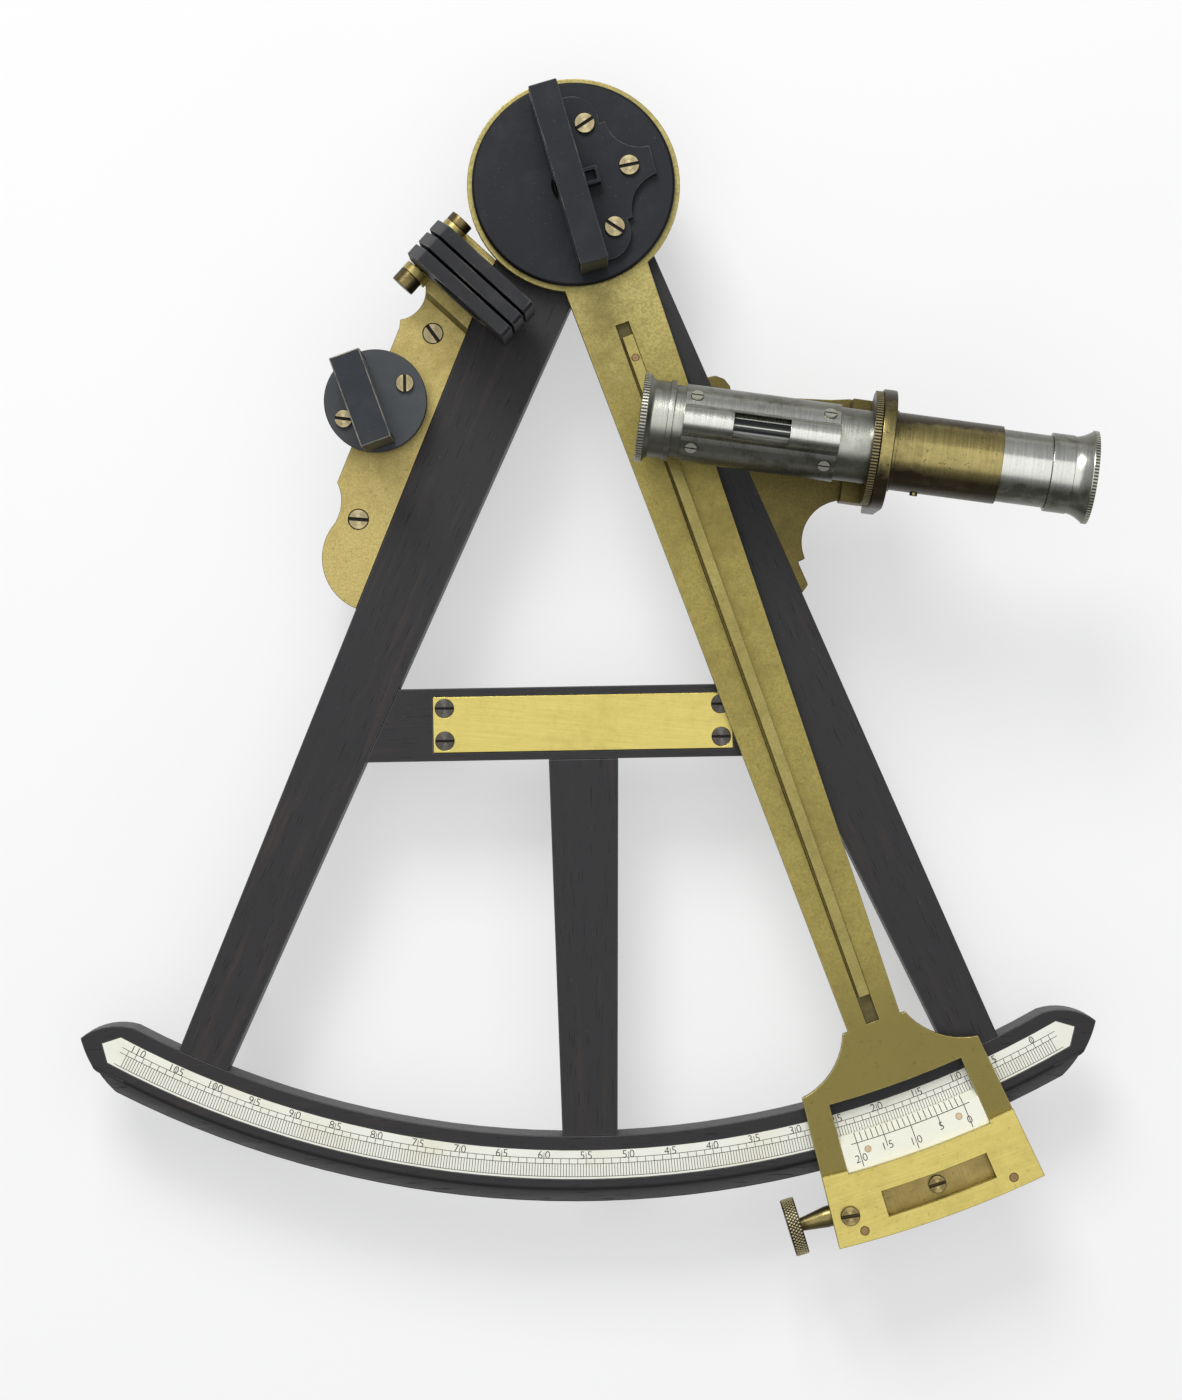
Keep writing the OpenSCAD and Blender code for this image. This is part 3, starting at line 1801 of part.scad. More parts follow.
left_leg();
right_leg();
limb();
cross_bar();
strut();
left_ear();
bone_scale();
name_plate();
name_plate_screws();
ear_plate();
ear_plate_screws();
pivot_bush();
apex_foot();
limb_feet();
shade_stand();
shade_pin();
shade_1();
shade_2();
shade_3();
shade_glass_1();
shade_glass_2();
shade_glass_3();
scope_bracket();
scope_bracket_screws();
scope_collar();
scope_flange();
scope_tube();
objective_cell();
objective_lens();
level_cover();
level_cover_screws();
level_vial();
scope_barrel();
draw_tube();
eyepiece();
eye_lens();
horizon_disc();
horizon_frame();
horizon_mirror();
horizon_screws();
horizon_lever();
index_arm();
arm_rib();
arm_pins();
end_plate();
vernier();
swivel_post();
swivel_screw();
mirror_platform();
index_mirror_base();
index_mirror_screws();
index_mirror_frame();
index_mirror();
centre_pin();
centre_nut();
clamp_slide();
slide_screw();
clamp_jaw();
clamp_screw();
tangent_screw();
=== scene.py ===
"""Octant: finishes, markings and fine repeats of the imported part, in its own frame, in metres."""

import json
import logging
import math
from abc import ABC, abstractmethod
from dataclasses import dataclass
from enum import Enum
from typing import Any, ClassVar, Iterable, Mapping, Optional, Sequence, Union

import bmesh
import bpy
from mathutils import Euler, Matrix, Vector


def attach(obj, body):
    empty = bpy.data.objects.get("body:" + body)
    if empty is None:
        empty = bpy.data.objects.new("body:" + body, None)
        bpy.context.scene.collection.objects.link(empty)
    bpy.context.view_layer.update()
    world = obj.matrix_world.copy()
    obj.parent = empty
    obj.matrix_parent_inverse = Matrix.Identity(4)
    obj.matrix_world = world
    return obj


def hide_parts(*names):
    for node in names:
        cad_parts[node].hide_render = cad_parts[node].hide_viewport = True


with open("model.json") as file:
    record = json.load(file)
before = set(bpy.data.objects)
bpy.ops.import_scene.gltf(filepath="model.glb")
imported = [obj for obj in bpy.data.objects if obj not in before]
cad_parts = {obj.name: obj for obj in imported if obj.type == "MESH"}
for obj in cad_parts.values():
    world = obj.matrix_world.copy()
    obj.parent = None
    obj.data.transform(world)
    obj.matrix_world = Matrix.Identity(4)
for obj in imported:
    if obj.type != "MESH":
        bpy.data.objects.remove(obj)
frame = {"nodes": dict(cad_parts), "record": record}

LOG = logging.getLogger("octant")
MM = 0.001
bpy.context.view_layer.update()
Colour = tuple[float, float, float]
Place = tuple[float, float, float]
Limits = tuple[float, float]
LIMB_FACE = 30.5
SCOPE_DIP = 8.7


class Body(Enum):
    """The bodies that added pieces ride on."""

    FRAME = "frame"
    ARM = "index_arm"
    CLAMP_SCREW = "clamp_screw"
    TANGENT = "tangent_screw"
    EYEPIECE = "eyepiece"


class Slot(Enum):
    """The record's material slots."""

    EBONY = "ebony"
    BONE = "bone"
    BRIGHT = "bright_brass"
    ARM = "arm_brass"
    TURNED = "turned_brass"
    AGED = "aged_brass"
    SILVER = "nickel_silver"
    BLACK = "black_lacquer"
    IRON = "iron"
    MIRROR = "mirror_glass"
    LENS = "lens_glass"
    RED = "red_shade_glass"
    GREEN = "green_shade_glass"


class Socket(Enum):
    """Kinds of sockets of a Geometry Nodes tree."""

    INT = "NodeSocketInt"
    FLOAT = "NodeSocketFloat"
    VECTOR = "NodeSocketVector"
    MATERIAL = "NodeSocketMaterial"
    GEOMETRY = "NodeSocketGeometry"


class Noise(Enum):
    """The noises, as features per metre, octaves and strength of the finer octaves."""

    FLOOR = (6.0, 2.0, 0.6)
    WOOD_CLOUD = (45.0, 2.0, 0.6)
    WOOD_BANDS = (420.0, 5.0, 0.62)
    WOOD_SPECKS = (900.0, 3.0, 0.6)
    WOOD_PORES = (2400.0, 2.0, 0.5)
    METAL_CLOUD = (45.0, 4.0, 0.55)
    METAL_MOTTLE = (260.0, 5.0, 0.65)
    METAL_SPECKS = (900.0, 3.0, 0.55)
    METAL_RINGS = (1700.0, 1.0, 0.5)
    METAL_GRAIN = (1900.0, 2.0, 0.5)
    METAL_LINES = (3040.0, 3.0, 0.6)
    LACQUER_CLOUD = (120.0, 5.0, 0.65)
    LACQUER_WEAR = (156.0, 3.0, 0.6)
    LACQUER_SPECKS = (1260.0, 2.0, 0.5)
    BONE_CLOUD = (60.0, 4.0, 0.6)
    BONE_FLECKS = (2200.0, 2.0, 0.6)
    GLASS_SMEARS = (120.0, 4.0, 0.6)
    VIAL_WAVE = (260.0, 2.0, 0.6)
    INK_WEAR = (260.0, 4.0, 0.6)


Value = Union["Signal", float, int, Sequence[float]]


class Signal:
    """A value in a node tree. Arithmetic on it adds Math nodes to the tree."""

    def __init__(self, graph: "Graph", socket: bpy.types.NodeSocket) -> None:
        """Wraps a socket.

        Args:
            graph: The graph that the value belongs to.
            socket: The output socket that carries the value.
        """
        self.graph = graph
        self.socket = socket

    def __add__(self, other: Value) -> "Signal":
        """Returns the sum."""
        return self.graph.math("ADD", self, other)

    def __radd__(self, other: Value) -> "Signal":
        """Returns the sum, with this value on the right."""
        return self.graph.math("ADD", other, self)

    def __sub__(self, other: Value) -> "Signal":
        """Returns the difference."""
        return self.graph.math("SUBTRACT", self, other)

    def __rsub__(self, other: Value) -> "Signal":
        """Returns the difference, with this value on the right."""
        return self.graph.math("SUBTRACT", other, self)

    def __mul__(self, other: Value) -> "Signal":
        """Returns the product."""
        return self.graph.math("MULTIPLY", self, other)

    def __rmul__(self, other: Value) -> "Signal":
        """Returns the product, with this value on the right."""
        return self.graph.math("MULTIPLY", other, self)

    def __truediv__(self, other: Value) -> "Signal":
        """Returns the quotient."""
        return self.graph.math("DIVIDE", self, other)

    def __rtruediv__(self, other: Value) -> "Signal":
        """Returns the quotient, with this value on the right."""
        return self.graph.math("DIVIDE", other, self)

    def __mod__(self, other: Value) -> "Signal":
        """Returns the remainder, never below zero."""
        return self.graph.math("FLOORED_MODULO", self, other)

    def __neg__(self) -> "Signal":
        """Returns the value with its sign turned."""
        return self.graph.math("MULTIPLY", self, -1.0)

    def sin(self) -> "Signal":
        """Returns the sine of this value in radians."""
        return self.graph.math("SINE", self)

    def cos(self) -> "Signal":
        """Returns the cosine of this value in radians."""
        return self.graph.math("COSINE", self)

    def root(self) -> "Signal":
        """Returns the square root."""
        return self.graph.math("SQRT", self)

    def hypot(self, other: "Signal") -> "Signal":
        """Returns the length of the flat vector of this value and another."""
        return (self * self + other * other).root()

    def below(self, limit: Value) -> "Signal":
        """Returns 1 where this value is under the limit, and 0 elsewhere."""
        return self.graph.math("LESS_THAN", self, limit)


class Graph:
    """Nodes of one tree, added through one generic method."""

    def __init__(self, tree: bpy.types.NodeTree) -> None:
        """Empties the tree.

        Args:
            tree: The shader or geometry tree that takes the nodes.
        """
        self.tree = tree
        self.tree.nodes.clear()

    def node(
        self, kind: str, inputs: Optional[Mapping[Union[str, int], Value]] = None, **settings: Any
    ) -> bpy.types.Node:
        """Adds a node.

        Args:
            kind: The node's type name.
            inputs: Values or signals by socket name or number.
            **settings: Properties of the node.

        Returns:
            The node.
        """
        made = self.tree.nodes.new(kind)
        for key, value in settings.items():
            setattr(made, key, value)
        for key, value in (inputs or {}).items():
            socket = made.inputs[key]
            if isinstance(value, Signal):
                self.tree.links.new(value.socket, socket)
            else:
                socket.default_value = value
        return made

    def out(
        self,
        kind: str,
        output: Union[str, int],
        inputs: Optional[Mapping[Union[str, int], Value]] = None,
        **settings: Any,
    ) -> Signal:
        """Adds a node for one of its outputs.

        Args:
            kind: The node's type name.
            output: The output's name or number.
            inputs: Values or signals by socket name or number.
            **settings: Properties of the node.

        Returns:
            The output as a signal.
        """
        return Signal(self, self.node(kind, inputs, **settings).outputs[output])

    def math(self, operation: str, *values: Value) -> Signal:
        """Adds a Math node.

        Args:
            operation: The node's operation.
            *values: What it works on.

        Returns:
            Its result.
        """
        return self.out("ShaderNodeMath", 0, dict(enumerate(values)), operation=operation)

    def join(self, x: Value = 0.0, y: Value = 0.0, z: Value = 0.0) -> Signal:
        """Makes a vector.

        Args:
            x: Its first value.
            y: Its second value.
            z: Its third value.

        Returns:
            The vector.
        """
        return self.out("ShaderNodeCombineXYZ", 0, {0: x, 1: y, 2: z})

    def split(self, vector: Signal) -> tuple[Signal, Signal, Signal]:
        """Takes a vector apart.

        Args:
            vector: The vector.

        Returns:
            Its three values.
        """
        apart = self.node("ShaderNodeSeparateXYZ", {"Vector": vector})
        x, y, z = (Signal(self, apart.outputs[i]) for i in range(3))
        return x, y, z


class Paint(Graph):
    """The shader graph of one material."""

    WEDGE: ClassVar[Limits] = (0.62, 1.0)
    TINY: ClassVar[float] = 1e-12

    def __init__(self, name: str) -> None:
        """Starts a material.

        Args:
            name: The material's name.
        """
        self.material = bpy.data.materials.new(name)
        self.material.use_nodes = True
        super().__init__(self.material.node_tree)

    def turned(self, at: Signal, turn: float) -> Signal:
        """Turns a place about Z.

        Args:
            at: The place.
            turn: How far the axes are turned, in degrees.

        Returns:
            The place along the turned axes.
        """
        inputs = {"Vector": at, "Rotation": (0.0, 0.0, math.radians(-turn))}
        return self.out("ShaderNodeMapping", 0, inputs)

    def place(self, turn: float = 0.0, stretch: Sequence[float] = (1.0, 1.0, 1.0)) -> Signal:
        """Reads Object coordinates.

        Args:
            turn: How far the axes are turned about Z, in degrees.
            stretch: Scale along the turned axes.

        Returns:
            The place.
        """
        at = self.turned(self.out("ShaderNodeTexCoord", "Object"), turn)
        return self.out("ShaderNodeMapping", 0, {"Vector": at, "Scale": tuple(stretch)})

    def own(self, turn: float = 0.0) -> tuple[Signal, Signal, Signal]:
        """Reads the place from the middle of a loose part.

        Args:
            turn: How far the axes are turned about Z, in degrees.

        Returns:
            The place along the three axes.
        """
        at = self.out("ShaderNodeAttribute", "Vector", attribute_name=Shop.OWN)
        return self.split(self.turned(at, turn))

    def facing(self, way: Place) -> Signal:
        """Adds how far the surface looks along a direction.

        Args:
            way: The direction, of length 1.

        Returns:
            The cosine between the two, from -1 to 1.
        """
        normal = self.out("ShaderNodeTexCoord", "Normal")
        pair = {0: normal, 1: way}
        return self.out("ShaderNodeVectorMath", "Value", pair, operation="DOT_PRODUCT")

    def noise(self, kind: Noise, at: Optional[Signal] = None) -> Signal:
        """Adds a noise.

        Args:
            kind: Which noise it is.
            at: The place, or None for plain Object coordinates.

        Returns:
            The noise, of about 0 to 1.
        """
        scale, detail, rough = kind.value
        place = self.place() if at is None else at
        inputs = {"Vector": place, "Scale": scale, "Detail": detail, "Roughness": rough}
        return self.out("ShaderNodeTexNoise", 0, inputs)

    def ease(self, value: Signal, low: float, high: float) -> Signal:
        """Eases a value from 0 to 1.

        Args:
            value: The value.
            low: Where the result is 0.
            high: Where the result is 1.

        Returns:
            The eased value.
        """
        inputs = {"Value": value, "From Min": low, "From Max": high}
        return self.out("ShaderNodeMapRange", 0, inputs, interpolation_type="SMOOTHSTEP")

    def mix(self, share: Value, first: Value, second: Value) -> Signal:
        """Mixes two colours.

        Args:
            share: Share of the second colour.
            first: The first colour.
            second: The second colour.

        Returns:
            The mixed colour.
        """
        pair = [c if isinstance(c, Signal) else (*c, 1.0) for c in (first, second)]
        return self.out("ShaderNodeMix", 2, {0: share, 6: pair[0], 7: pair[1]}, data_type="RGBA")

    def weigh(self, weights: Sequence[float], *signals: Signal) -> Signal:
        """Adds signals up by their weights.

        Args:
            weights: What the sum starts from, and then the weight of each signal.
            *signals: The signals.

        Returns:
            The sum.
        """
        total, *rest = weights
        for weight, signal in zip(rest, signals):
            total = total + weight * signal
        return total

    def rings(self) -> Signal:
        """Returns a noise that runs in rings about a loose part's own middle."""
        x, y, _ = self.own()
        return self.noise(Noise.METAL_RINGS, self.join(x.hypot(y)))

    def wedges(self, bearing: float) -> Signal:
        """Adds a painted glint: two opposite bright wedges on a turned face.

        Args:
            bearing: Where they lie about a loose part's own middle, from X in degrees.

        Returns:
            1 along the wedges and 0 across them.
        """
        x, y, _ = self.own(bearing)
        return self.ease(x * x / (x * x + y * y + self.TINY), *self.WEDGE)

    def bump(self, height: Signal, depth: float) -> Signal:
        """Bends the normal.

        Args:
            height: The relief, of about 0 to 1.
            depth: Its depth in millimetres.

        Returns:
            The normal.
        """
        inputs = {"Height": height, "Distance": depth * MM, "Strength": 1.0}
        return self.out("ShaderNodeBump", 0, inputs)

    def surface(self, **inputs: Value) -> bpy.types.Material:
        """Closes the graph with a Principled surface.

        Args:
            **inputs: Socket values, with _ for a space in the socket's name.

        Returns:
            The material.
        """
        named = {key.replace("_", " "): value for key, value in inputs.items()}
        shader = self.out("ShaderNodeBsdfPrincipled", 0, named)
        self.node("ShaderNodeOutputMaterial", {"Surface": shader})
        return self.material


@dataclass(frozen=True)
class Finish(ABC):
    """How a surface looks.

    Attributes:
        name: The material's name.
        slot: The record's slot that the finish stands for; not used.
        colour: The main colour, linear.
    """

    name: str
    slot: Slot
    colour: Colour

    made: ClassVar[dict[str, bpy.types.Material]] = {}

    @abstractmethod
    def paint(self, paint: Paint) -> bpy.types.Material:
        """Builds the material.

        Args:
            paint: The empty graph.

        Returns:
            The material.
        """

    def material(self) -> bpy.types.Material:
        """Returns the finish's material, which is built once."""
        if self.name not in Finish.made:
            Finish.made[self.name] = self.paint(Paint(self.name))
        return Finish.made[self.name]


@dataclass(frozen=True)
class Ebony(Finish):
    """Dark wood with brown streaks, open pores and some dust, and where asked a painted shadow
    before a step.

    Attributes:
        streak: Colour of the streaks.
        grain: Bearing of the grain from -Y, in degrees.
        dust: Strength of the dust, 0 to 1.
        grime: Radii between which a painted shadow darkens the wood towards a step, in millimetres,
            or None.
    """

    streak: Colour = (0.042, 0.031, 0.027)
    grain: float = 0.0
    dust: float = 0.3
    grime: Optional[Limits] = None

    STRETCH: ClassVar[Place] = (1.0, 0.06, 1.0)
    STREAKS: ClassVar[Limits] = (0.46, 0.76)
    CLOUDS: ClassVar[Limits] = (0.35, 0.7)
    STREAKED: ClassVar[Limits] = (0.30, 0.70)
    PORES: ClassVar[Limits] = (0.60, 0.72)
    SPECKS: ClassVar[Limits] = (0.66, 0.76)
    PAST: ClassVar[Limits] = (0.1, 0.5)
    PORE_SHARE: ClassVar[float] = 0.6
    GRIME_SHARE: ClassVar[float] = 0.9
    ROUGH: ClassVar[Place] = (0.38, 0.18, 0.14)
    PORE_RELIEF: ClassVar[float] = 0.6
    BAND_RELIEF: ClassVar[float] = 0.4
    DEPTH: ClassVar[float] = 0.05
    SPECULAR: ClassVar[float] = 0.32
    PORE: ClassVar[Colour] = (0.006, 0.006, 0.006)
    DUST: ClassVar[Colour] = (0.10, 0.095, 0.09)

    def paint(self, paint: Paint) -> bpy.types.Material:
        """Builds the wood.

        Args:
            paint: The empty graph.

        Returns:
            The material.
        """
        along = paint.place(self.grain, self.STRETCH)
        bands = paint.noise(Noise.WOOD_BANDS, along)
        pores = paint.noise(Noise.WOOD_PORES, along)
        cloud = paint.ease(paint.noise(Noise.WOOD_CLOUD), *self.CLOUDS)
        specks = paint.ease(paint.noise(Noise.WOOD_SPECKS), *self.SPECKS)
        share = paint.ease(bands, *self.STREAKS) * paint.weigh(self.STREAKED, cloud)
        pore = paint.ease(pores, *self.PORES)
        colour = paint.mix(share, self.colour, self.streak)
        colour = paint.mix(pore * self.PORE_SHARE, colour, self.PORE)
        colour = paint.mix(specks * self.dust, colour, self.DUST)
        # Painted shadow: a dark band on the face just before the step down.
        if self.grime:
            x, y, _ = paint.split(paint.place())
            radius = x.hypot(y) * (1.0 / MM)
            near, step = self.grime
            past = paint.ease(radius, *(step + further for further in self.PAST))
            share = paint.ease(radius, near, step) * (1.0 - past)
            colour = paint.mix(share * self.GRIME_SHARE, colour, self.PORE)
        relief = pores * self.PORE_RELIEF + bands * self.BAND_RELIEF
        return paint.surface(
            Base_Color=colour,
            Roughness=paint.weigh(self.ROUGH, bands, pore),
            Normal=paint.bump(relief, self.DEPTH),
            Specular_IOR_Level=self.SPECULAR,
        )


@dataclass(frozen=True)
class Metal(Finish):
    """Worn metal: clouded, grained, stained and specked, with painted shade on the sides that face
    away from the light, and where asked a painted glint on turned faces and painted light and shade
    by the distance from the pivot.

    Attributes:
        stain: Colour of the stains, also used for the painted shade on the sides.
        stained: Share of the surface that is stained, 0 to 1.
        gloss: Lowest roughness.
        speckle: Strength of small dark specks, 0 to 1.
        grit: Contrast of the finest grain, 0 to 1.
        brush: Bearing of the brush or lathe lines from Y in degrees, or None.
        turned: Whether lathe rings run about each loose part's own middle.
        shaded: How much painted shade darkens the sides that face away from the light, 0 to 1.
        relief: Depth of the grain, in millimetres.
        metallic: How metallic the clean surface is.
        rubbed: Colour near the pivot, if it differs; it is painted light where lighter and painted
            shade where darker.
        dull: Colour far from the pivot, if it differs; it is painted shade.
        shine: Strength of a painted glint, two bright wedges on a turned face, 0 to 1.
        lean: Cosines towards the light where the sides take the full painted shade and where they
            take none.
    """

    stain: Colour = (0.10, 0.06, 0.02)
    stained: float = 0.3
    gloss: float = 0.30
    speckle: float = 0.2
    grit: float = 0.22
    brush: Optional[float] = None
    turned: bool = False
    shaded: float = 0.0
    relief: float = 0.012
    metallic: float = 0.95
    rubbed: Optional[Colour] = None
    dull: Optional[Colour] = None
    shine: float = 0.0
    lean: Limits = (0.55, 0.975)

    STAIN_FROM: ClassVar[float] = 0.74
    STAIN_SPAN: ClassVar[float] = 0.36
    STAIN_EDGE: ClassVar[Limits] = (-0.22, 0.16)
    STAIN_SHARE: ClassVar[float] = 0.7
    SPECKS: ClassVar[Limits] = (0.60, 0.72)
    SPECK_SHADE: ClassVar[float] = 0.35
    GRAIN: ClassVar[Limits] = (0.34, 0.66)
    GRAIN_RELIEF: ClassVar[float] = 0.7
    LINES: ClassVar[Place] = (1.0, 0.02, 0.02)
    LINE_SHARE: ClassVar[float] = 0.75
    ROUGH: ClassVar[Place] = (0.10, 0.14, 0.06)
    TARNISH: ClassVar[float] = 0.2
    # Radii of the painted light and shade by the distance from the pivot.
    RUBBED_R: ClassVar[Limits] = (27.5 * MM, 70.0 * MM)
    DULL_R: ClassVar[Limits] = (200.0 * MM, 232.0 * MM)
    # Direction of the light that the painted side shade turns away from.
    RUBBED_WAY: ClassVar[Place] = (-0.05, 0.17, 0.984)
    SHINE_AT: ClassVar[float] = 97.0
    SHINE_GAIN: ClassVar[float] = 2.0

    def clean(self, paint: Paint) -> Union[Signal, Colour]:
        """Adds the colour of the metal before its stains, with the painted glint and the painted
        light and shade by the distance from the pivot.

        Args:
            paint: The graph.

        Returns:
            The colour.
        """
        colour: Union[Signal, Colour] = self.colour
        # Painted glint: a lighter colour in two wedges across a turned face.
        if self.shine > 0.0:
            bright = tuple(min(1.0, self.SHINE_GAIN * c) for c in self.colour)
            colour = paint.mix(paint.wedges(self.SHINE_AT) * self.shine, colour, bright)
        # Painted light and shade by the distance from the pivot.
        if self.rubbed is None or self.dull is None:
            return colour
        x, y, _ = paint.split(paint.place())
        radius = x.hypot(y)
        colour = paint.mix(paint.ease(radius, *self.RUBBED_R), self.rubbed, colour)
        return paint.mix(paint.ease(radius, *self.DULL_R), colour, self.dull)

    def grain(self, paint: Paint) -> Signal:
        """Adds the finest grain.

        Args:
            paint: The graph.

        Returns:
            The grain, of about 0 to 1.
        """
        if self.turned:
            return paint.rings()
        grain = paint.noise(Noise.METAL_GRAIN)
        if self.brush is None:
            return grain
        lines = paint.noise(Noise.METAL_LINES, paint.place(self.brush, self.LINES))
        return grain * (1.0 - self.LINE_SHARE) + lines * self.LINE_SHARE

    def paint(self, paint: Paint) -> bpy.types.Material:
        """Builds the metal.

        Args:
            paint: The empty graph.

        Returns:
            The material.
        """
        cloud = paint.noise(Noise.METAL_CLOUD)
        mottle = paint.noise(Noise.METAL_MOTTLE)
        grain = self.grain(paint)
        edge = self.STAIN_FROM - self.STAIN_SPAN * self.stained
        limits = (edge + step for step in self.STAIN_EDGE)
        share = paint.ease(cloud * 0.5 + mottle * 0.5, *limits) * self.STAIN_SHARE
        # Painted shade: sides that face away from the light are mixed towards the colour of the
        # stains.
        if self.shaded > 0.0:
            rubbed = paint.ease(paint.facing(self.RUBBED_WAY), *self.lean)
            share = share + (1.0 - rubbed) * self.shaded
        spot = paint.ease(paint.noise(Noise.METAL_SPECKS), *self.SPECKS) * self.speckle
        fine = paint.ease(grain, *self.GRAIN)
        colour = paint.mix(share, self.clean(paint), self.stain)
        colour = paint.mix(spot, colour, tuple(self.SPECK_SHADE * c for c in self.stain))
        colour = paint.mix((1.0 - fine) * self.grit, colour, self.stain)
        relief = grain * self.GRAIN_RELIEF + mottle * (1.0 - self.GRAIN_RELIEF)
        return paint.surface(
            Base_Color=colour,
            Roughness=paint.weigh((self.gloss, *self.ROUGH), share, spot, fine),
            Metallic=self.metallic - self.TARNISH * share - self.TARNISH * spot,
            Normal=paint.bump(relief, self.relief),
        )


@dataclass(frozen=True)
class Lacquer(Finish):
    """Black lacquer, dulled and a little scuffed.

    Attributes:
        scuff: Colour of the scuffs.
        bare: Colour of the metal where the lacquer has gone.
        worn: Share of the surface where it has gone, 0 to 1.
        dusty: Strength of the pale dots, 0 to 1.
    """

    scuff: Colour = (0.030, 0.032, 0.036)
    bare: Colour = (0.20, 0.19, 0.165)
    worn: float = 0.0
    dusty: float = 0.2

    DOT: ClassVar[Colour] = (0.14, 0.135, 0.12)
    SCUFFS: ClassVar[Limits] = (0.42, 0.80)
    SCUFFED: ClassVar[float] = 0.7
    SPECKS: ClassVar[Limits] = (0.68, 0.74)
    WEAR: ClassVar[Limits] = (0.66, 0.94)
    WEAR_SPAN: ClassVar[float] = 0.4
    BARE_METAL: ClassVar[float] = 0.6
    ROUGH: ClassVar[Limits] = (0.40, 0.20)
    DEPTH: ClassVar[float] = 0.012
    SPECULAR: ClassVar[float] = 0.26

    def paint(self, paint: Paint) -> bpy.types.Material:
        """Builds the lacquer.

        Args:
            paint: The empty graph.

        Returns:
            The material.
        """
        cloud = paint.noise(Noise.LACQUER_CLOUD)
        specks = paint.noise(Noise.LACQUER_SPECKS)
        limits = (limit - self.WEAR_SPAN * self.worn for limit in self.WEAR)
        gone = paint.ease(paint.noise(Noise.LACQUER_WEAR), *limits) * self.worn
        colour = paint.mix(paint.ease(cloud, *self.SCUFFS) * self.SCUFFED, self.colour, self.scuff)
        colour = paint.mix(paint.ease(specks, *self.SPECKS) * self.dusty, colour, self.DOT)
        colour = paint.mix(gone, colour, self.bare)
        return paint.surface(
            Base_Color=colour,
            Roughness=paint.weigh(self.ROUGH, cloud),
            Metallic=gone * self.BARE_METAL,
            Normal=paint.bump(specks, self.DEPTH),
            Specular_IOR_Level=self.SPECULAR,
        )


@dataclass(frozen=True)
class Bone(Finish):
    """Polished bone with faint yellow clouds and fine flecks.

    Attributes:
        cloud: Colour of the yellowed patches.
    """

    cloud: Colour = (0.73, 0.68, 0.50)

    FLECK: ClassVar[Colour] = (0.42, 0.36, 0.24)
    CLOUDS: ClassVar[Limits] = (0.42, 0.80)
    CLOUDED: ClassVar[float] = 0.7
    FIBRE: ClassVar[float] = 70.0
    STRETCH: ClassVar[Place] = (1.0, 0.12, 1.0)
    FLECKS: ClassVar[Limits] = (0.62, 0.76)
    FLECKED: ClassVar[float] = 0.22
    ROUGH: ClassVar[Limits] = (0.36, 0.12)
    POLISH: ClassVar[float] = 0.12

    def paint(self, paint: Paint) -> bpy.types.Material:
        """Builds the bone.

        Args:
            paint: The empty graph.

        Returns:
            The material.
        """
        clouds = paint.noise(Noise.BONE_CLOUD)
        flecks = paint.noise(Noise.BONE_FLECKS, paint.place(self.FIBRE, self.STRETCH))
        share = paint.ease(clouds, *self.CLOUDS) * self.CLOUDED
        colour = paint.mix(share, self.colour, self.cloud)
        colour = paint.mix(paint.ease(flecks, *self.FLECKS) * self.FLECKED, colour, self.FLECK)
        rough = paint.weigh(self.ROUGH, clouds)
        return paint.surface(Base_Color=colour, Roughness=rough, Coat_Weight=self.POLISH)


@dataclass(frozen=True)
class Glass(Finish):
    """Old glass with faint smears.

    Attributes:
        smear: Colour of the smears.
        metallic: 1 where the glass is silvered.
        clear: Share of light that goes through.
    """

    smear: Colour = (0.55, 0.57, 0.55)
    metallic: float = 0.0
    clear: float = 0.0

    SMEARS: ClassVar[Limits] = (0.5, 0.8)
    SMEARED: ClassVar[float] = 0.4
    ROUGH: ClassVar[Limits] = (0.03, 0.10)

    def paint(self, paint: Paint) -> bpy.types.Material:
        """Builds the glass.

        Args:
            paint: The empty graph.

        Returns:
            The material.
        """
        smears = paint.ease(paint.noise(Noise.GLASS_SMEARS), *self.SMEARS)
        return paint.surface(
            Base_Color=paint.mix(smears * self.SMEARED, self.colour, self.smear),
            Roughness=paint.weigh(self.ROUGH, smears),
            Metallic=self.metallic,
            Transmission_Weight=self.clear,
        )


@dataclass(frozen=True)
class Vial(Finish):
    """A spirit level's tube: dark, with painted reflections: a pale line along it and pale bands at
    both sides.

    Attributes:
        pale: Colour of the painted reflections.
        lean: Bearing of the tube from X, in degrees.
        radius: The tube's radius, in millimetres.
    """

    pale: Colour = (0.62, 0.62, 0.57)
    lean: float = -SCOPE_DIP
    radius: float = 2.1

    HIGH_BED: ClassVar[Limits] = (0.80, 0.88)
    LOW_BED: ClassVar[Limits] = (-0.74, -0.62)
    LINE_START: ClassVar[Limits] = (-0.10, -0.04)
    LINE_END: ClassVar[Limits] = (0.04, 0.10)
    LINE_SHARE: ClassVar[Limits] = (0.6, 0.6)
    ROUGH: ClassVar[Limits] = (0.08, 0.10)
    POLISH: ClassVar[float] = 0.3

    def paint(self, paint: Paint) -> bpy.types.Material:
        """Builds the tube.

        Args:
            paint: The empty graph.

        Returns:
            The material.
        """
        across = paint.own(self.lean)[1] / (self.radius * MM)
        wave = paint.noise(Noise.VIAL_WAVE)
        # Painted reflections: pale bands at both sides and a pale line along the middle.
        high = paint.ease(across, *self.HIGH_BED)
        low = 1.0 - paint.ease(across, *self.LOW_BED)
        line = paint.ease(across, *self.LINE_START) * (1.0 - paint.ease(across, *self.LINE_END))
        share = high + low + line * paint.weigh(self.LINE_SHARE, wave)
        return paint.surface(
            Base_Color=paint.mix(share, self.colour, self.pale),
            Roughness=paint.weigh(self.ROUGH, wave),
            Coat_Weight=self.POLISH,
        )


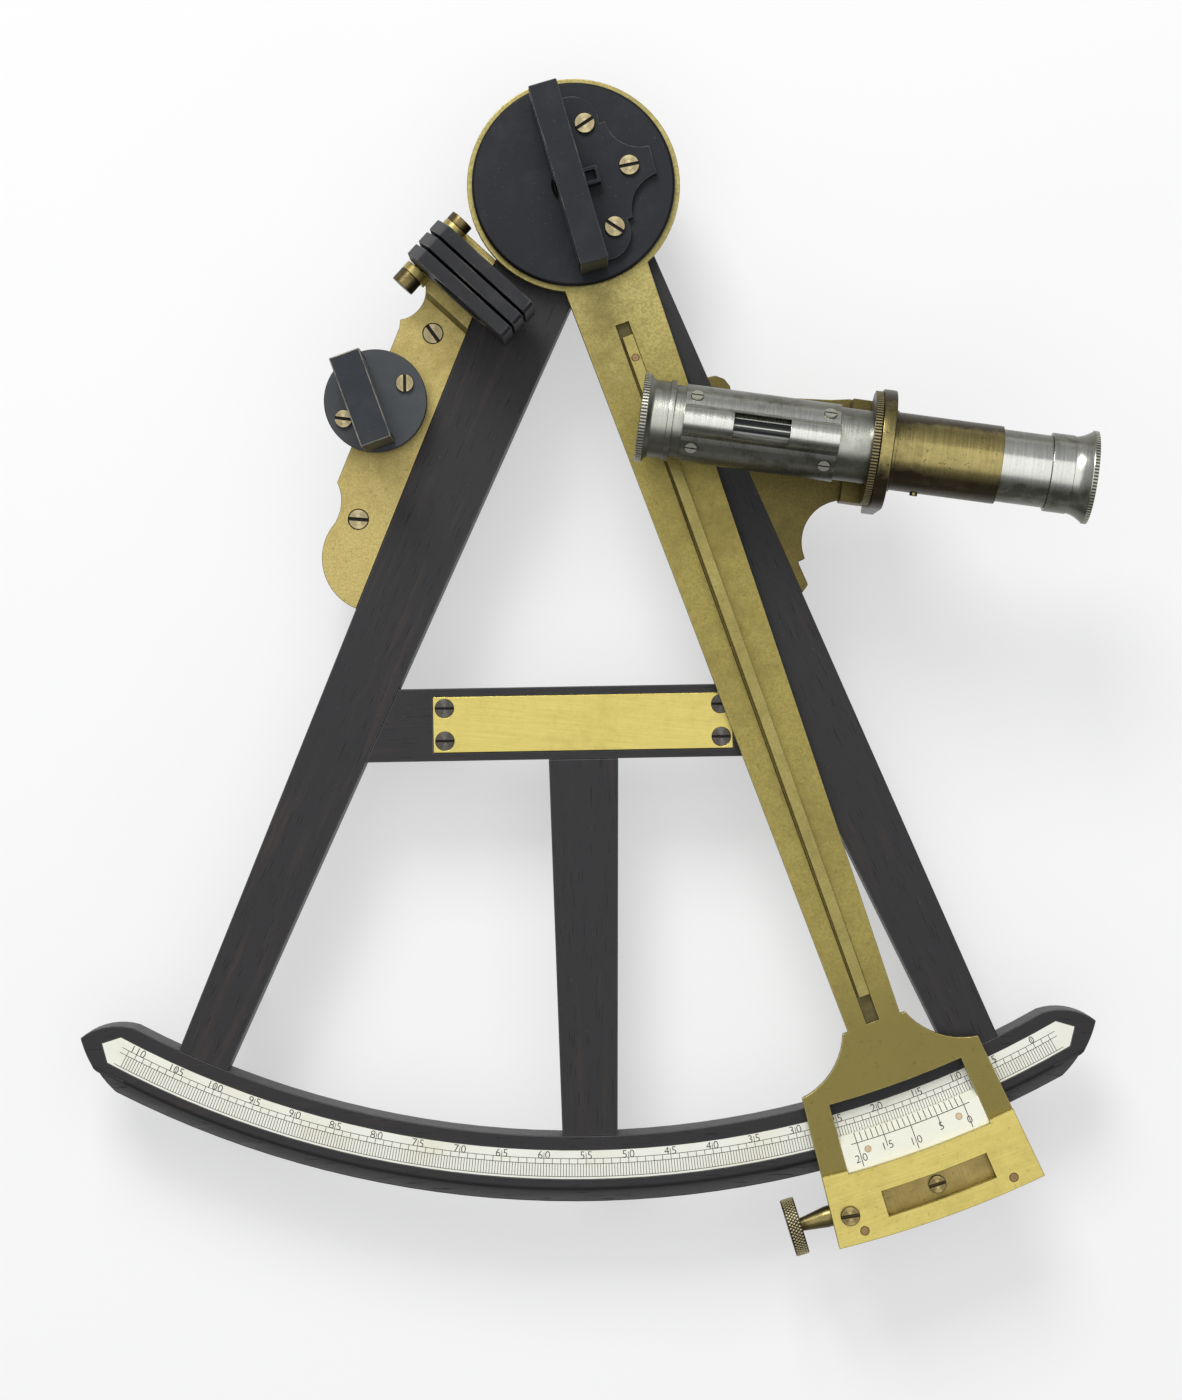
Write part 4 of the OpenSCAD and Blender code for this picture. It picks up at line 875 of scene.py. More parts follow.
@dataclass(frozen=True)
class Ink(Finish):
    """The dark filling of engraved lines, faded here and there.

    Attributes:
        faded: Colour where it has faded.
    """

    faded: Colour = (0.075, 0.062, 0.048)

    FADES: ClassVar[Limits] = (0.50, 0.78)
    FADED: ClassVar[float] = 0.7
    ROUGH: ClassVar[Limits] = (0.5, 0.2)

    def paint(self, paint: Paint) -> bpy.types.Material:
        """Builds the filling.

        Args:
            paint: The empty graph.

        Returns:
            The material.
        """
        wear = paint.noise(Noise.INK_WEAR)
        share = paint.ease(wear, *self.FADES) * self.FADED
        colour = paint.mix(share, self.colour, self.faded)
        return paint.surface(Base_Color=colour, Roughness=paint.weigh(self.ROUGH, wear))


class Finishes:
    """Every finish of the octant."""

    DARK: Colour = (0.0225, 0.0215, 0.0235)
    RUBBED: Colour = (0.055, 0.054, 0.055)
    STEP_AT = 258.6
    # Radii of the painted shadow on the limb's face before the step down to the ledge.
    GRIME: Limits = (STEP_AT - 1.9, STEP_AT - 0.3)

    LEFT_WOOD = Ebony("ebony_left", Slot.EBONY, DARK, (0.054, 0.038, 0.032), -24.0)
    RIGHT_WOOD = Ebony("ebony_right", Slot.EBONY, DARK, grain=24.0)
    CROSS_WOOD = Ebony("ebony_cross", Slot.EBONY, DARK, grain=90.0)
    LIMB_WOOD = Ebony("ebony_limb", Slot.EBONY, DARK, grain=90.0, grime=GRIME)
    STRUT_WOOD = Ebony("ebony_strut", Slot.EBONY, DARK)
    WOOD_EDGE = Ebony("ebony_rubbed", Slot.EBONY, RUBBED, (0.090, 0.082, 0.076), dust=0.5)
    # A lighter ebony on the limb's ledge: painted light.
    LEDGE_WOOD = Ebony(
        "ebony_ledge_painted_light", Slot.EBONY, (0.092, 0.091, 0.092), (0.16, 0.155, 0.15), 90.0, dust=0.6,
    )
    BONE = Bone("bone", Slot.BONE, (0.90, 0.90, 0.80), (0.80, 0.77, 0.58))
    VERNIER = Bone("bone_vernier", Slot.BONE, (0.95, 0.95, 0.81), (0.86, 0.83, 0.66))
    INK = Ink("ink", Slot.BONE, (0.008, 0.007, 0.006))
    BRIGHT = Metal(
        "brass_bright", Slot.BRIGHT, (0.70, 0.59, 0.18), (0.46, 0.36, 0.095),
        stained=0.25, gloss=0.28, speckle=0.10, grit=0.3, brush=84.0,
    )
    END = Metal(
        "brass_end", Slot.BRIGHT, (0.72, 0.60, 0.185), (0.44, 0.35, 0.090),
        stained=0.28, gloss=0.30, speckle=0.30, grit=0.36, brush=108.0,
    )
    EAR = Metal(
        "brass_ear", Slot.BRIGHT, (0.56, 0.46, 0.175), (0.33, 0.25, 0.082),
        stained=0.34, gloss=0.36, speckle=0.30, grit=0.5, relief=0.02,
    )
    STAND = Metal(
        "brass_stand", Slot.BRIGHT, (0.54, 0.45, 0.165), (0.25, 0.185, 0.058),
        stained=0.36, gloss=0.32, grit=0.4, shaded=0.3,
    )
    SCREW = Metal(
        "brass_screw", Slot.BRIGHT, (0.47, 0.40, 0.23), (0.19, 0.145, 0.075),
        stained=0.42, gloss=0.26, speckle=0.5, grit=0.4, turned=True, relief=0.012, shaded=0.5,
        shine=0.5,
    )
    LATHE_SCREW = Metal(
        "brass_lathe_screw", Slot.BRIGHT, (0.29, 0.225, 0.095), (0.09, 0.064, 0.026),
        stained=0.36, gloss=0.22, turned=True, grit=0.4, relief=0.02, shaded=0.5, shine=1.0,
    )
    PEG = Metal(
        "peg", Slot.BRIGHT, (0.80, 0.60, 0.37), (0.46, 0.30, 0.15),
        stained=0.30, gloss=0.36, speckle=0.3, metallic=0.4,
    )
    RIVET = Metal(
        "rivet", Slot.ARM, (0.36, 0.235, 0.110), (0.16, 0.095, 0.045), stained=0.40, gloss=0.34,
    )
    # Lighter near the pivot and darker at the far end: painted light and painted shade along the
    # arm.
    ARM = Metal(
        "brass_arm", Slot.ARM, (0.387, 0.320, 0.095), (0.235, 0.188, 0.054), stained=0.40,
        gloss=0.38, speckle=0.34, grit=0.55, relief=0.02, metallic=0.9, rubbed=(0.49, 0.42, 0.16),
        dull=(0.250, 0.208, 0.064),
    )
    ARM_EDGE = Metal(
        "brass_edge", Slot.ARM, (0.52, 0.45, 0.175), (0.26, 0.21, 0.07), stained=0.35, gloss=0.32,
    )
    # Darker brass in the arm's groove, near-black at both ends: painted shade in the recesses.
    GROOVE = Metal(
        "brass_groove", Slot.ARM, (0.34, 0.28, 0.095), (0.20, 0.16, 0.05), stained=0.4, gloss=0.5,
        metallic=0.5, rubbed=(0.050, 0.039, 0.013), dull=(0.050, 0.039, 0.013),
    )
    RIB = Metal(
        "brass_rib", Slot.ARM, (0.40, 0.34, 0.115), (0.22, 0.175, 0.054),
        stained=0.35, gloss=0.34, grit=0.4, metallic=0.9,
    )
    TURNED = Metal(
        "brass_turned", Slot.TURNED, (0.36, 0.290, 0.115), (0.075, 0.055, 0.018),
        stained=0.38, gloss=0.24, shaded=0.8, relief=0.006,
    )
    PIN = Metal(
        "brass_pin", Slot.TURNED, (0.24, 0.185, 0.075), (0.030, 0.022, 0.009),
        stained=0.45, gloss=0.24, shaded=0.9, relief=0.006,
    )
    KNURL = Metal(
        "brass_knurl", Slot.TURNED, (0.66, 0.59, 0.35), (0.34, 0.28, 0.13),
        stained=0.3, gloss=0.5, metallic=0.6,
    )
    FLANGE_KNURL = Metal(
        "flange_knurl", Slot.AGED, (0.34, 0.295, 0.15), (0.14, 0.112, 0.048),
        stained=0.35, gloss=0.40, metallic=0.8,
    )
    SLIDE = Metal(
        "brass_slide", Slot.TURNED, (0.43, 0.335, 0.120), (0.25, 0.185, 0.060),
        stained=0.42, gloss=0.32, speckle=0.4, grit=0.5, brush=20.0,
    )
    # Near-black: painted shade on the ground between knurl ridges and on the rounded edges of screw
    # heads.
    KNURL_DARK = Metal(
        "brass_knurl_painted_shade", Slot.TURNED, (0.035, 0.027, 0.011), (0.014, 0.011, 0.005),
        stained=0.5, gloss=0.42, metallic=0.7,
    )
    # Its colour is darkened as a painted shadow, for the telescope's shadow over the bracket.
    BRACKET = Metal(
        "brass_bracket", Slot.AGED, (0.175, 0.142, 0.044), (0.085, 0.065, 0.019),
        stained=0.42, gloss=0.36, speckle=0.3, grit=0.5, metallic=0.9, shaded=0.5,
    )
    AGED = Metal(
        "brass_aged", Slot.AGED, (0.47, 0.385, 0.150), (0.034, 0.025, 0.010), stained=0.36,
        gloss=0.20, speckle=0.6, brush=-SCOPE_DIP, shaded=0.95, relief=0.004,
        lean=(0.66, 0.998),
    )
    SILVER = Metal(
        "nickel_silver", Slot.SILVER, (0.81, 0.815, 0.75), (0.088, 0.088, 0.066), stained=0.14,
        gloss=0.17, speckle=0.12, grit=0.16, brush=-SCOPE_DIP, shaded=0.92, relief=0.002,
        lean=(0.72, 1.0),
    )
    # A darker copy of the nickel silver for the tube and the objective cell: painted shade.
    SILVER_TUBE = Metal(
        "silver_tube_painted_shade", Slot.SILVER, (0.56, 0.565, 0.50), (0.105, 0.105, 0.080), stained=0.2,
        gloss=0.24, speckle=0.12, grit=0.16, brush=-SCOPE_DIP, shaded=0.92, relief=0.002,
        lean=(0.74, 1.0),
    )
    SILVER_RIDGE = Metal(
        "silver_ridge", Slot.SILVER, (0.56, 0.555, 0.47), (0.27, 0.26, 0.20),
        stained=0.3, gloss=0.34,
    )
    # Painted shade on the ground between the silver knurls' ridges.
    SILVER_DARK = Metal(
        "silver_knurl_painted_shade", Slot.SILVER, (0.10, 0.098, 0.080), (0.04, 0.038, 0.030),
        stained=0.5, gloss=0.40, metallic=0.8,
    )
    BLACK = Lacquer("black_lacquer", Slot.BLACK, (0.0120, 0.0140, 0.0185))
    SHADE = Lacquer("shade_lacquer", Slot.BLACK, (0.019, 0.0195, 0.0225), (0.042, 0.042, 0.044))
    GREY_BLACK = Lacquer("grey_lacquer", Slot.BLACK, (0.022, 0.026, 0.033), (0.048, 0.051, 0.056))
    # A lighter copy of the black lacquer for the horizon disc: painted light.
    GREY_DISC = Lacquer("grey_disc_painted_light", Slot.BLACK, (0.060, 0.066, 0.072), (0.085, 0.088, 0.090))
    WORN = Lacquer("lacquer_worn", Slot.BLACK, (0.034, 0.036, 0.040), worn=0.5, dusty=0.0)
    BARE = Lacquer(
        "lacquer_bare", Slot.BLACK, (0.075, 0.074, 0.070), bare=(0.36, 0.34, 0.27),
        worn=0.8, dusty=0.0,
    )
    # Near-black, and dark brown on the turned brass screws: painted shade in the screw slots.
    CUT = Lacquer("screw_slot_painted_shade", Slot.IRON, (0.010, 0.008, 0.006), (0.020, 0.016, 0.012))
    WORN_CUT = Metal(
        "brass_slot_painted_shade", Slot.TURNED, (0.085, 0.064, 0.026), (0.020, 0.015, 0.007), stained=0.5,
    )
    # Near-black on the mirror platform's rounded edge: painted shadow between the disc and the
    # brass ring.
    DARK_RIM = Lacquer(
        "painted_shadow_rim", Slot.BLACK, (0.0035, 0.0035, 0.004), (0.012, 0.012, 0.013), worn=0.04,
    )
    IRON = Metal(
        "iron", Slot.IRON, (0.105, 0.098, 0.088), (0.035, 0.028, 0.022),
        stained=0.45, gloss=0.34, speckle=0.4, turned=True, shine=0.7,
    )
    MIRROR = Glass("mirror", Slot.MIRROR, (0.80, 0.83, 0.84), metallic=1.0)
    LENS = Glass("lens", Slot.LENS, (0.90, 0.96, 0.95), (0.80, 0.86, 0.84), clear=0.95)
    VIAL = Vial("vial", Slot.LENS, (0.006, 0.007, 0.007))
    RED = Glass("shade_red", Slot.RED, (0.20, 0.02, 0.012), (0.22, 0.05, 0.04), clear=0.6)
    GREEN = Glass("shade_green", Slot.GREEN, (0.02, 0.13, 0.05), (0.05, 0.15, 0.08), clear=0.6)


@dataclass(frozen=True)
class Patch:
    """Faces of a node that look up between two levels and take another finish.

    Attributes:
        finish: The finish.
        low: The lower level, in millimetres.
        high: The upper level, in millimetres.
    """

    finish: Finish
    low: float
    high: float


@dataclass(frozen=True)
class Worn:
    """An edge about the pivot that is rounder than the others, in millimetres.

    Attributes:
        radius: Its radius.
        level: Its level.
        width: Width of its rounding.
    """

    radius: float
    level: float
    width: float


@dataclass(frozen=True)
class Coat:
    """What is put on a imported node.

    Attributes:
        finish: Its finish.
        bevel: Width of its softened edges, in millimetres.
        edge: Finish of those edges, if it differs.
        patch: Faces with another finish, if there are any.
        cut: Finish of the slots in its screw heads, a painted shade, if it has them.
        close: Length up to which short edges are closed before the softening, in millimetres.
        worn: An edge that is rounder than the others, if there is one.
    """

    finish: Finish
    bevel: float = 0.0
    edge: Optional[Finish] = None
    patch: Optional[Patch] = None
    cut: Optional[Finish] = None
    close: float = 0.0
    worn: Optional[Worn] = None

    def finishes(self) -> list[Finish]:
        """Returns each finish once, in the order of the mesh's material slots."""
        used = (self.finish, self.edge, self.patch and self.patch.finish, self.cut)
        return list(dict.fromkeys(finish for finish in used if finish))


class Shop:
    """Makes the shown pieces."""

    SHARP = math.radians(28.0)
    CREASE = math.radians(48.0)
    FLAT = math.radians(0.4)
    WELD = 1e-6
    NEAR = 0.05 * MM
    OWN = "own"
    LEVEL = 0.9
    CUT_FLOOR = (0.2 * MM, 0.8 * MM)
    CUT_WALL = (0.1 * MM, 0.35 * MM)
    CUT_HALF = 0.5 * MM
    UPWARD = 0.5
    UPRIGHT = 0.3
    SOFT_FACES = 2
    WORN_FACES = 4
    ROUND = 0.5

    @staticmethod
    def body_of(node: str) -> str:
        """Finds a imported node's body.

        Args:
            node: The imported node.

        Returns:
            The body's name.
        """
        bodies = frame["record"]["behaviour"]["bodies"]
        return next(body for body, nodes in bodies.items() if node in nodes)

    @staticmethod
    def link(name: str, data: Any) -> bpy.types.Object:
        """Puts a new object in the scene, at the origin.

        Args:
            name: Its name.
            data: Its mesh, curve, light or camera.

        Returns:
            The object.
        """
        made = bpy.data.objects.new(name, data)
        bpy.context.scene.collection.objects.link(made)
        return made

    @staticmethod
    def plain(obj: bpy.types.Object) -> bpy.types.Mesh:
        """Makes a plain mesh of an object as its modifiers show it.

        Args:
            obj: The object.

        Returns:
            The mesh.
        """
        graph = bpy.context.evaluated_depsgraph_get()
        graph.update()
        return bpy.data.meshes.new_from_object(obj.evaluated_get(graph))

    @classmethod
    def settle(cls, obj: bpy.types.Object) -> None:
        """Makes an object's modifiers part of its mesh and removes them.

        Args:
            obj: The object.
        """
        mesh = cls.plain(obj)
        obj.modifiers.clear()
        obj.data = mesh

    @classmethod
    def smooth(cls, obj: bpy.types.Object) -> None:
        """Shades an object smoothly over its soft edges, its flat faces staying flat.

        Args:
            obj: The object.
        """
        obj.data.polygons.foreach_set("use_smooth", [True] * len(obj.data.polygons))
        obj.data.set_sharp_from_angle(angle=cls.CREASE)
        weigh = obj.modifiers.new("weigh", "WEIGHTED_NORMAL")
        weigh.keep_sharp = True
        cls.settle(obj)

    @staticmethod
    def parts(work: bmesh.types.BMesh) -> list[list[bmesh.types.BMVert]]:
        """Sorts a mesh into its loose parts.

        Args:
            work: The mesh.

        Returns:
            The vertices of each part.
        """
        found = []
        todo = set(work.verts)
        while todo:
            part = [todo.pop()]
            for vert in part:
                near = {e.other_vert(vert) for e in vert.link_edges} & todo
                todo -= near
                part.extend(near)
            found.append(part)
        return found

    @classmethod
    def mark_middles(cls, work: bmesh.types.BMesh) -> None:
        """Stores each vertex's place from the middle of its own loose part.

        Args:
            work: The mesh.
        """
        layer = work.verts.layers.float_vector.new(cls.OWN)
        for part in cls.parts(work):
            low = Vector(min(v.co[i] for v in part) for i in range(3))
            high = Vector(max(v.co[i] for v in part) for i in range(3))
            for vert in part:
                vert[layer] = vert.co - (low + high) / 2

    @classmethod
    def mark_patch(cls, work: bmesh.types.BMesh, patch: Patch, index: int) -> None:
        """Gives the faces of a patch their material.

        Args:
            work: The mesh.
            patch: The patch.
            index: Number of its material slot.
        """
        for face in work.faces:
            level = face.calc_center_median().z
            if face.normal.z > cls.LEVEL and patch.low * MM < level < patch.high * MM:
                face.material_index = index

    @classmethod
    def mark_cuts(cls, work: bmesh.types.BMesh, index: int) -> None:
        """Gives the slots across screw heads their painted shade.

        Args:
            work: The mesh, each loose part of which is a screw.
            index: Number of its material slot.
        """
        for part in cls.parts(work):
            faces = {face for vert in part for face in vert.link_faces}
            upward = [f for f in faces if f.normal.z > cls.UPWARD]
            up = max(upward, key=lambda f: f.calc_area()).normal.copy()
            tops = [f for f in faces if f.normal.dot(up) > cls.LEVEL]
            head = max(f.calc_center_median().dot(up) for f in tops)
            middle = sum((v.co for v in part), Vector()) / len(part)
            for face in faces:
                lean = face.normal.dot(up)
                at = face.calc_center_median()
                depth = head - at.dot(up)
                across = (at - middle - up * (at - middle).dot(up)).length
                floor = lean > cls.LEVEL and cls.CUT_FLOOR[0] < depth < cls.CUT_FLOOR[1]
                wall = abs(lean) < cls.UPRIGHT and cls.CUT_WALL[0] < depth < cls.CUT_WALL[1]
                if floor or (wall and across < cls.CUT_HALF):
                    face.material_index = index

    @classmethod
    def soften(cls, work: bmesh.types.BMesh, width: float, index: int) -> None:
        """Rounds the outer edges of a mesh.

        Args:
            work: The mesh.
            width: Width of the rounding, in millimetres.
            index: Number of the edges' material slot, or -1 for that of their faces.
        """
        edges = [
            edge
            for edge in work.edges
            if edge.is_manifold and edge.is_convex and edge.calc_face_angle(0.0) > cls.SHARP
        ]
        cls.bevel(work, edges, width, cls.SOFT_FACES, index)

    @classmethod
    def wear(cls, work: bmesh.types.BMesh, worn: Worn) -> None:
        """Rounds an edge about the pivot.

        Args:
            work: The mesh.
            worn: The edge.
        """
        near = {
            vert
            for vert in work.verts
            if abs(vert.co.xy.length - worn.radius * MM) < cls.NEAR
            and abs(vert.co.z - worn.level * MM) < cls.NEAR
        }
        edges = [edge for edge in work.edges if near.issuperset(edge.verts)]
        cls.bevel(work, edges, worn.width, cls.WORN_FACES)

    @classmethod
    def bevel(
        cls,
        work: bmesh.types.BMesh,
        edges: list[bmesh.types.BMEdge],
        width: float,
        segments: int,
        index: int = -1,
    ) -> None:
        """Rounds edges.

        Args:
            work: The mesh.
            edges: The edges.
            width: Width of the rounding, in millimetres.
            segments: How many faces it has.
            index: Number of those faces' material slot, or -1 for that of their neighbours.
        """
        bmesh.ops.bevel(
            work,
            geom=edges,
            offset=width * MM,
            offset_type="OFFSET",
            segments=segments,
            profile=cls.ROUND,
            affect="EDGES",
            clamp_overlap=False,
            material=index,
        )

    @staticmethod
    def ordered(work: bmesh.types.BMesh) -> bmesh.types.BMesh:
        """Sorts a mesh by its places, because some operations leave it in any order.

        Args:
            work: The mesh, which is freed.

        Returns:
            The sorted mesh.
        """
        verts = sorted(work.verts, key=lambda vert: tuple(vert.co))
        number = {vert: i for i, vert in enumerate(verts)}
        faces = []
        for face in work.faces:
            ring = [number[vert] for vert in face.verts]
            first = ring.index(min(ring))
            faces.append((ring[first:] + ring[:first], face.material_index))
        made = bmesh.new()
        placed = [made.verts.new(vert.co) for vert in verts]
        for ring, index in sorted(faces):
            made.faces.new([placed[i] for i in ring]).material_index = index
        made.normal_update()
        work.free()
        return made

    @classmethod
    def dress(cls, node: str, coat: Coat) -> bpy.types.Object:
        """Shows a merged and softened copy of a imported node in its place.

        Args:
            node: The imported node.
            coat: Its finish and edges.

        Returns:
            The copy.
        """
        name = f"{node}_shown"
        source = frame["nodes"][node].data
        raw = bpy.data.meshes.new(name)
        raw.from_pydata([v.co for v in source.vertices], [], [p.vertices for p in source.polygons])
        used = coat.finishes()
        for finish in used:
            raw.materials.append(finish.material())
        work = bmesh.new()
        work.from_mesh(raw)
        bmesh.ops.remove_doubles(work, verts=work.verts, dist=cls.WELD)
        bmesh.ops.dissolve_limit(work, angle_limit=cls.FLAT, verts=work.verts, edges=work.edges)
        if coat.close > 0.0:
            bmesh.ops.dissolve_degenerate(work, dist=coat.close * MM, edges=work.edges)
            work = cls.ordered(work)
        if coat.worn:
            cls.wear(work, coat.worn)
        if coat.patch:
            cls.mark_patch(work, coat.patch, used.index(coat.patch.finish))
        if coat.cut:
            cls.mark_cuts(work, used.index(coat.cut))
        if coat.bevel > 0.0:
            cls.soften(work, coat.bevel, used.index(coat.edge) if coat.edge else -1)
        if coat.close > 0.0:
            bmesh.ops.dissolve_degenerate(work, dist=cls.WELD, edges=work.edges)
            work = cls.ordered(work)
        cls.mark_middles(work)
        work.to_mesh(raw)
        work.free()
        shown = cls.link(name, raw)
        cls.smooth(shown)
        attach(shown, cls.body_of(node))
        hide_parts(node)
        return shown

    @classmethod
    def add(cls, name: str, mesh: bpy.types.Mesh, finish: Finish, body: Body) -> bpy.types.Object:
        """Shows a new piece.

        Args:
            name: The piece's name.
            mesh: Its mesh, in place.
            finish: Its finish.
            body: The body that it rides on.

        Returns:
            The piece.
        """
        if not mesh.materials:
            mesh.materials.append(finish.material())
        made = cls.link(name, mesh)
        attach(made, body.value)
        return made


class Repeat(ABC):
    """A Geometry Nodes tree that repeats one small block, and the pieces made with it."""

    NAME: ClassVar[str]
    INPUTS: ClassVar[dict[str, Socket]]
    trees: ClassVar[dict[str, bpy.types.NodeTree]] = {}

    @classmethod
    @abstractmethod
    def lay(cls, graph: Graph, given: Mapping[str, Signal]) -> Signal:
        """Lays the blocks out.

        Args:
            graph: The tree's graph.
            given: The tree's inputs, by name.

        Returns:
            The instances.
        """

    @staticmethod
    def placed(graph: Graph, given: Mapping[str, Signal], laid: Mapping[str, Signal]) -> Signal:
        """Puts blocks on points, and turns and places them all.

        Args:
            graph: The tree's graph.
            given: The tree's inputs, by name.
            laid: What the blocks are, where they are and how they are turned.

        Returns:
            The instances.
        """
        blocks = graph.out("GeometryNodeInstanceOnPoints", 0, laid)
        moved = {"Geometry": blocks, "Translation": given["Place"], "Rotation": given["Turn"]}
        return graph.out("GeometryNodeTransform", 0, moved)

    @classmethod
    def tree(cls) -> bpy.types.NodeTree:
        """Builds the tree, once. It ends in plain geometry with a material.

        Returns:
            The tree.
        """
        if cls.NAME in Repeat.trees:
            return Repeat.trees[cls.NAME]
        tree = bpy.data.node_groups.new(cls.NAME, "GeometryNodeTree")
        for name, kind in {**cls.INPUTS, "Material": Socket.MATERIAL}.items():
            tree.interface.new_socket(name, in_out="INPUT", socket_type=kind.value)
        tree.interface.new_socket("Geometry", in_out="OUTPUT", socket_type=Socket.GEOMETRY.value)
        graph = Graph(tree)
        entry = graph.node("NodeGroupInput")
        given = {socket.name: Signal(graph, socket) for socket in entry.outputs if socket.name}
        laid = cls.lay(graph, given)
        plain = graph.out("GeometryNodeRealizeInstances", 0, {0: laid})
        inputs = {"Geometry": plain, "Material": given["Material"]}
        graph.node("NodeGroupOutput", {"Geometry": graph.out("GeometryNodeSetMaterial", 0, inputs)})
        Repeat.trees[cls.NAME] = tree
        return tree

    @classmethod
    def make(cls, name: str, finish: Finish, body: Body, **values: Any) -> bpy.types.Object:
        """Makes a piece with the tree.

        Args:
            name: The piece's name.
            finish: Its finish.
            body: The body that it rides on.
            **values: The tree's inputs, by name.

        Returns:
            The piece, as a plain mesh.
        """
        tree = cls.tree()
        holder = Shop.link(name, bpy.data.meshes.new(name))
        modifier = holder.modifiers.new(cls.NAME, "NODES")
        modifier.node_group = tree
        given = {**values, "Material": finish.material()}
        for item in tree.interface.items_tree:
            if item.in_out == "INPUT":
                modifier[item.identifier] = given[item.name]
        mesh = Shop.plain(holder)
        bpy.data.objects.remove(holder)
        return Shop.add(name, mesh, finish, body)


class Knurl(Repeat):
    """Ridges round a rim. The rim's axis is Z before it is turned and placed."""

    NAME = "knurl"
    INPUTS = {
        "Count": Socket.INT,
        "Radius": Socket.FLOAT,
        "Size": Socket.VECTOR,
        "Turn": Socket.VECTOR,
        "Place": Socket.VECTOR,
    }

    @classmethod
    def lay(cls, graph: Graph, given: Mapping[str, Signal]) -> Signal:
        """Lays the ridges out.

        Args:
            graph: The tree's graph.
            given: The tree's inputs, by name.

        Returns:
            The instances.
        """
        circle = {"Vertices": given["Count"], "Radius": given["Radius"]}
        rim = graph.out("GeometryNodeMeshCircle", 0, circle)
        ridge = graph.out("GeometryNodeMeshCube", 0, {"Size": given["Size"]})
        angle = graph.out("GeometryNodeInputIndex", 0) * (math.tau / given["Count"])
        turn = graph.join(0.0, 0.0, angle)
        return cls.placed(graph, given, {"Points": rim, "Instance": ridge, "Rotation": turn})


class Studs(Repeat):
    """Four-sided studs in staggered rows round a rim, as a diamond knurl has them."""

    NAME = "studs"
    INPUTS = {
        "Count": Socket.INT,
        "Rows": Socket.INT,
        "Radius": Socket.FLOAT,
        "Pitch": Socket.FLOAT,
        "Size": Socket.VECTOR,
        "Turn": Socket.VECTOR,
        "Place": Socket.VECTOR,
    }
    TOP = 0.55
    SIDES = 4

    @classmethod
    def lay(cls, graph: Graph, given: Mapping[str, Signal]) -> Signal:
        """Lays the studs out.

        Args:
            graph: The tree's graph.
            given: The tree's inputs, by name.

        Returns:
            The instances.
        """
        line = graph.out("GeometryNodeMeshLine", 0, {"Count": given["Count"] * given["Rows"]})
        index = graph.out("GeometryNodeInputIndex", 0)
        row = graph.math("FLOOR", (index + 0.5) / given["Count"])
        angle = (index + row * 0.5) * (math.tau / given["Count"])
        along = (row - (given["Rows"] - 1.0) * 0.5) * given["Pitch"]
        at = graph.join(given["Radius"] * angle.cos(), given["Radius"] * angle.sin(), along)
        points = graph.out("GeometryNodeSetPosition", 0, {"Geometry": line, "Position": at})
        cone = {"Vertices": cls.SIDES, "Radius Top": cls.TOP, "Radius Bottom": 1.0, "Depth": 1.0}
        raised = graph.out("GeometryNodeMeshCone", 0, cone)
        quarter = (0.0, math.radians(90.0), 0.0)
        stud = graph.out("GeometryNodeTransform", 0, {"Geometry": raised, "Rotation": quarter})
        laid = {
            "Points": points,
            "Instance": stud,
            "Rotation": graph.join(0.0, 0.0, angle),
            "Scale": given["Size"],
        }
        return cls.placed(graph, given, laid)


class Ticks(Repeat):
    """Divisions along an arc about the pivot, with longer ones at two steps."""

    NAME = "ticks"
    INPUTS = {
        "Count": Socket.INT,
        "Start": Socket.FLOAT,
        "Step": Socket.FLOAT,
        "Phase": Socket.INT,
        "Medium Every": Socket.INT,
        "Long Every": Socket.INT,
        "Radius": Socket.FLOAT,
        "Short": Socket.FLOAT,
        "Medium": Socket.FLOAT,
        "Long": Socket.FLOAT,
        "Width": Socket.FLOAT,
        "Height": Socket.FLOAT,
        "Tilt": Socket.FLOAT,
        "Outward": Socket.FLOAT,
    }
    DEPTH = 0.02 * MM

    @classmethod
    def lay(cls, graph: Graph, given: Mapping[str, Signal]) -> Signal:
        """Lays the divisions out.

        Args:
            graph: The tree's graph.
            given: The tree's inputs, by name.

        Returns:
            The instances.
        """
        row = graph.out("GeometryNodeMeshLine", 0, {"Count": given["Count"]})
        index = graph.out("GeometryNodeInputIndex", 0)
        number = index + given["Phase"]
        medium = (number % given["Medium Every"]).below(0.5)
        long = (number % given["Long Every"]).below(0.5)
        length = given["Short"] + medium * (given["Medium"] - given["Short"])
        length = length + long * (given["Long"] - given["Medium"])
        angle = given["Start"] + index * given["Step"]
        radius = given["Radius"] + given["Outward"] * length * 0.5
        at = graph.join(radius * angle.sin(), -(radius * angle.cos()), given["Height"])
        points = graph.out("GeometryNodeSetPosition", 0, {"Geometry": row, "Position": at})
        size = graph.join(given["Width"], 1.0, cls.DEPTH)
        laid = {
            "Points": points,
            "Selection": length,
            "Instance": graph.out("GeometryNodeMeshCube", 0, {"Size": size}),
            "Rotation": graph.join(given["Tilt"], 0.0, angle),
            "Scale": graph.join(1.0, length, 1.0),
        }
        return graph.out("GeometryNodeInstanceOnPoints", 0, laid)


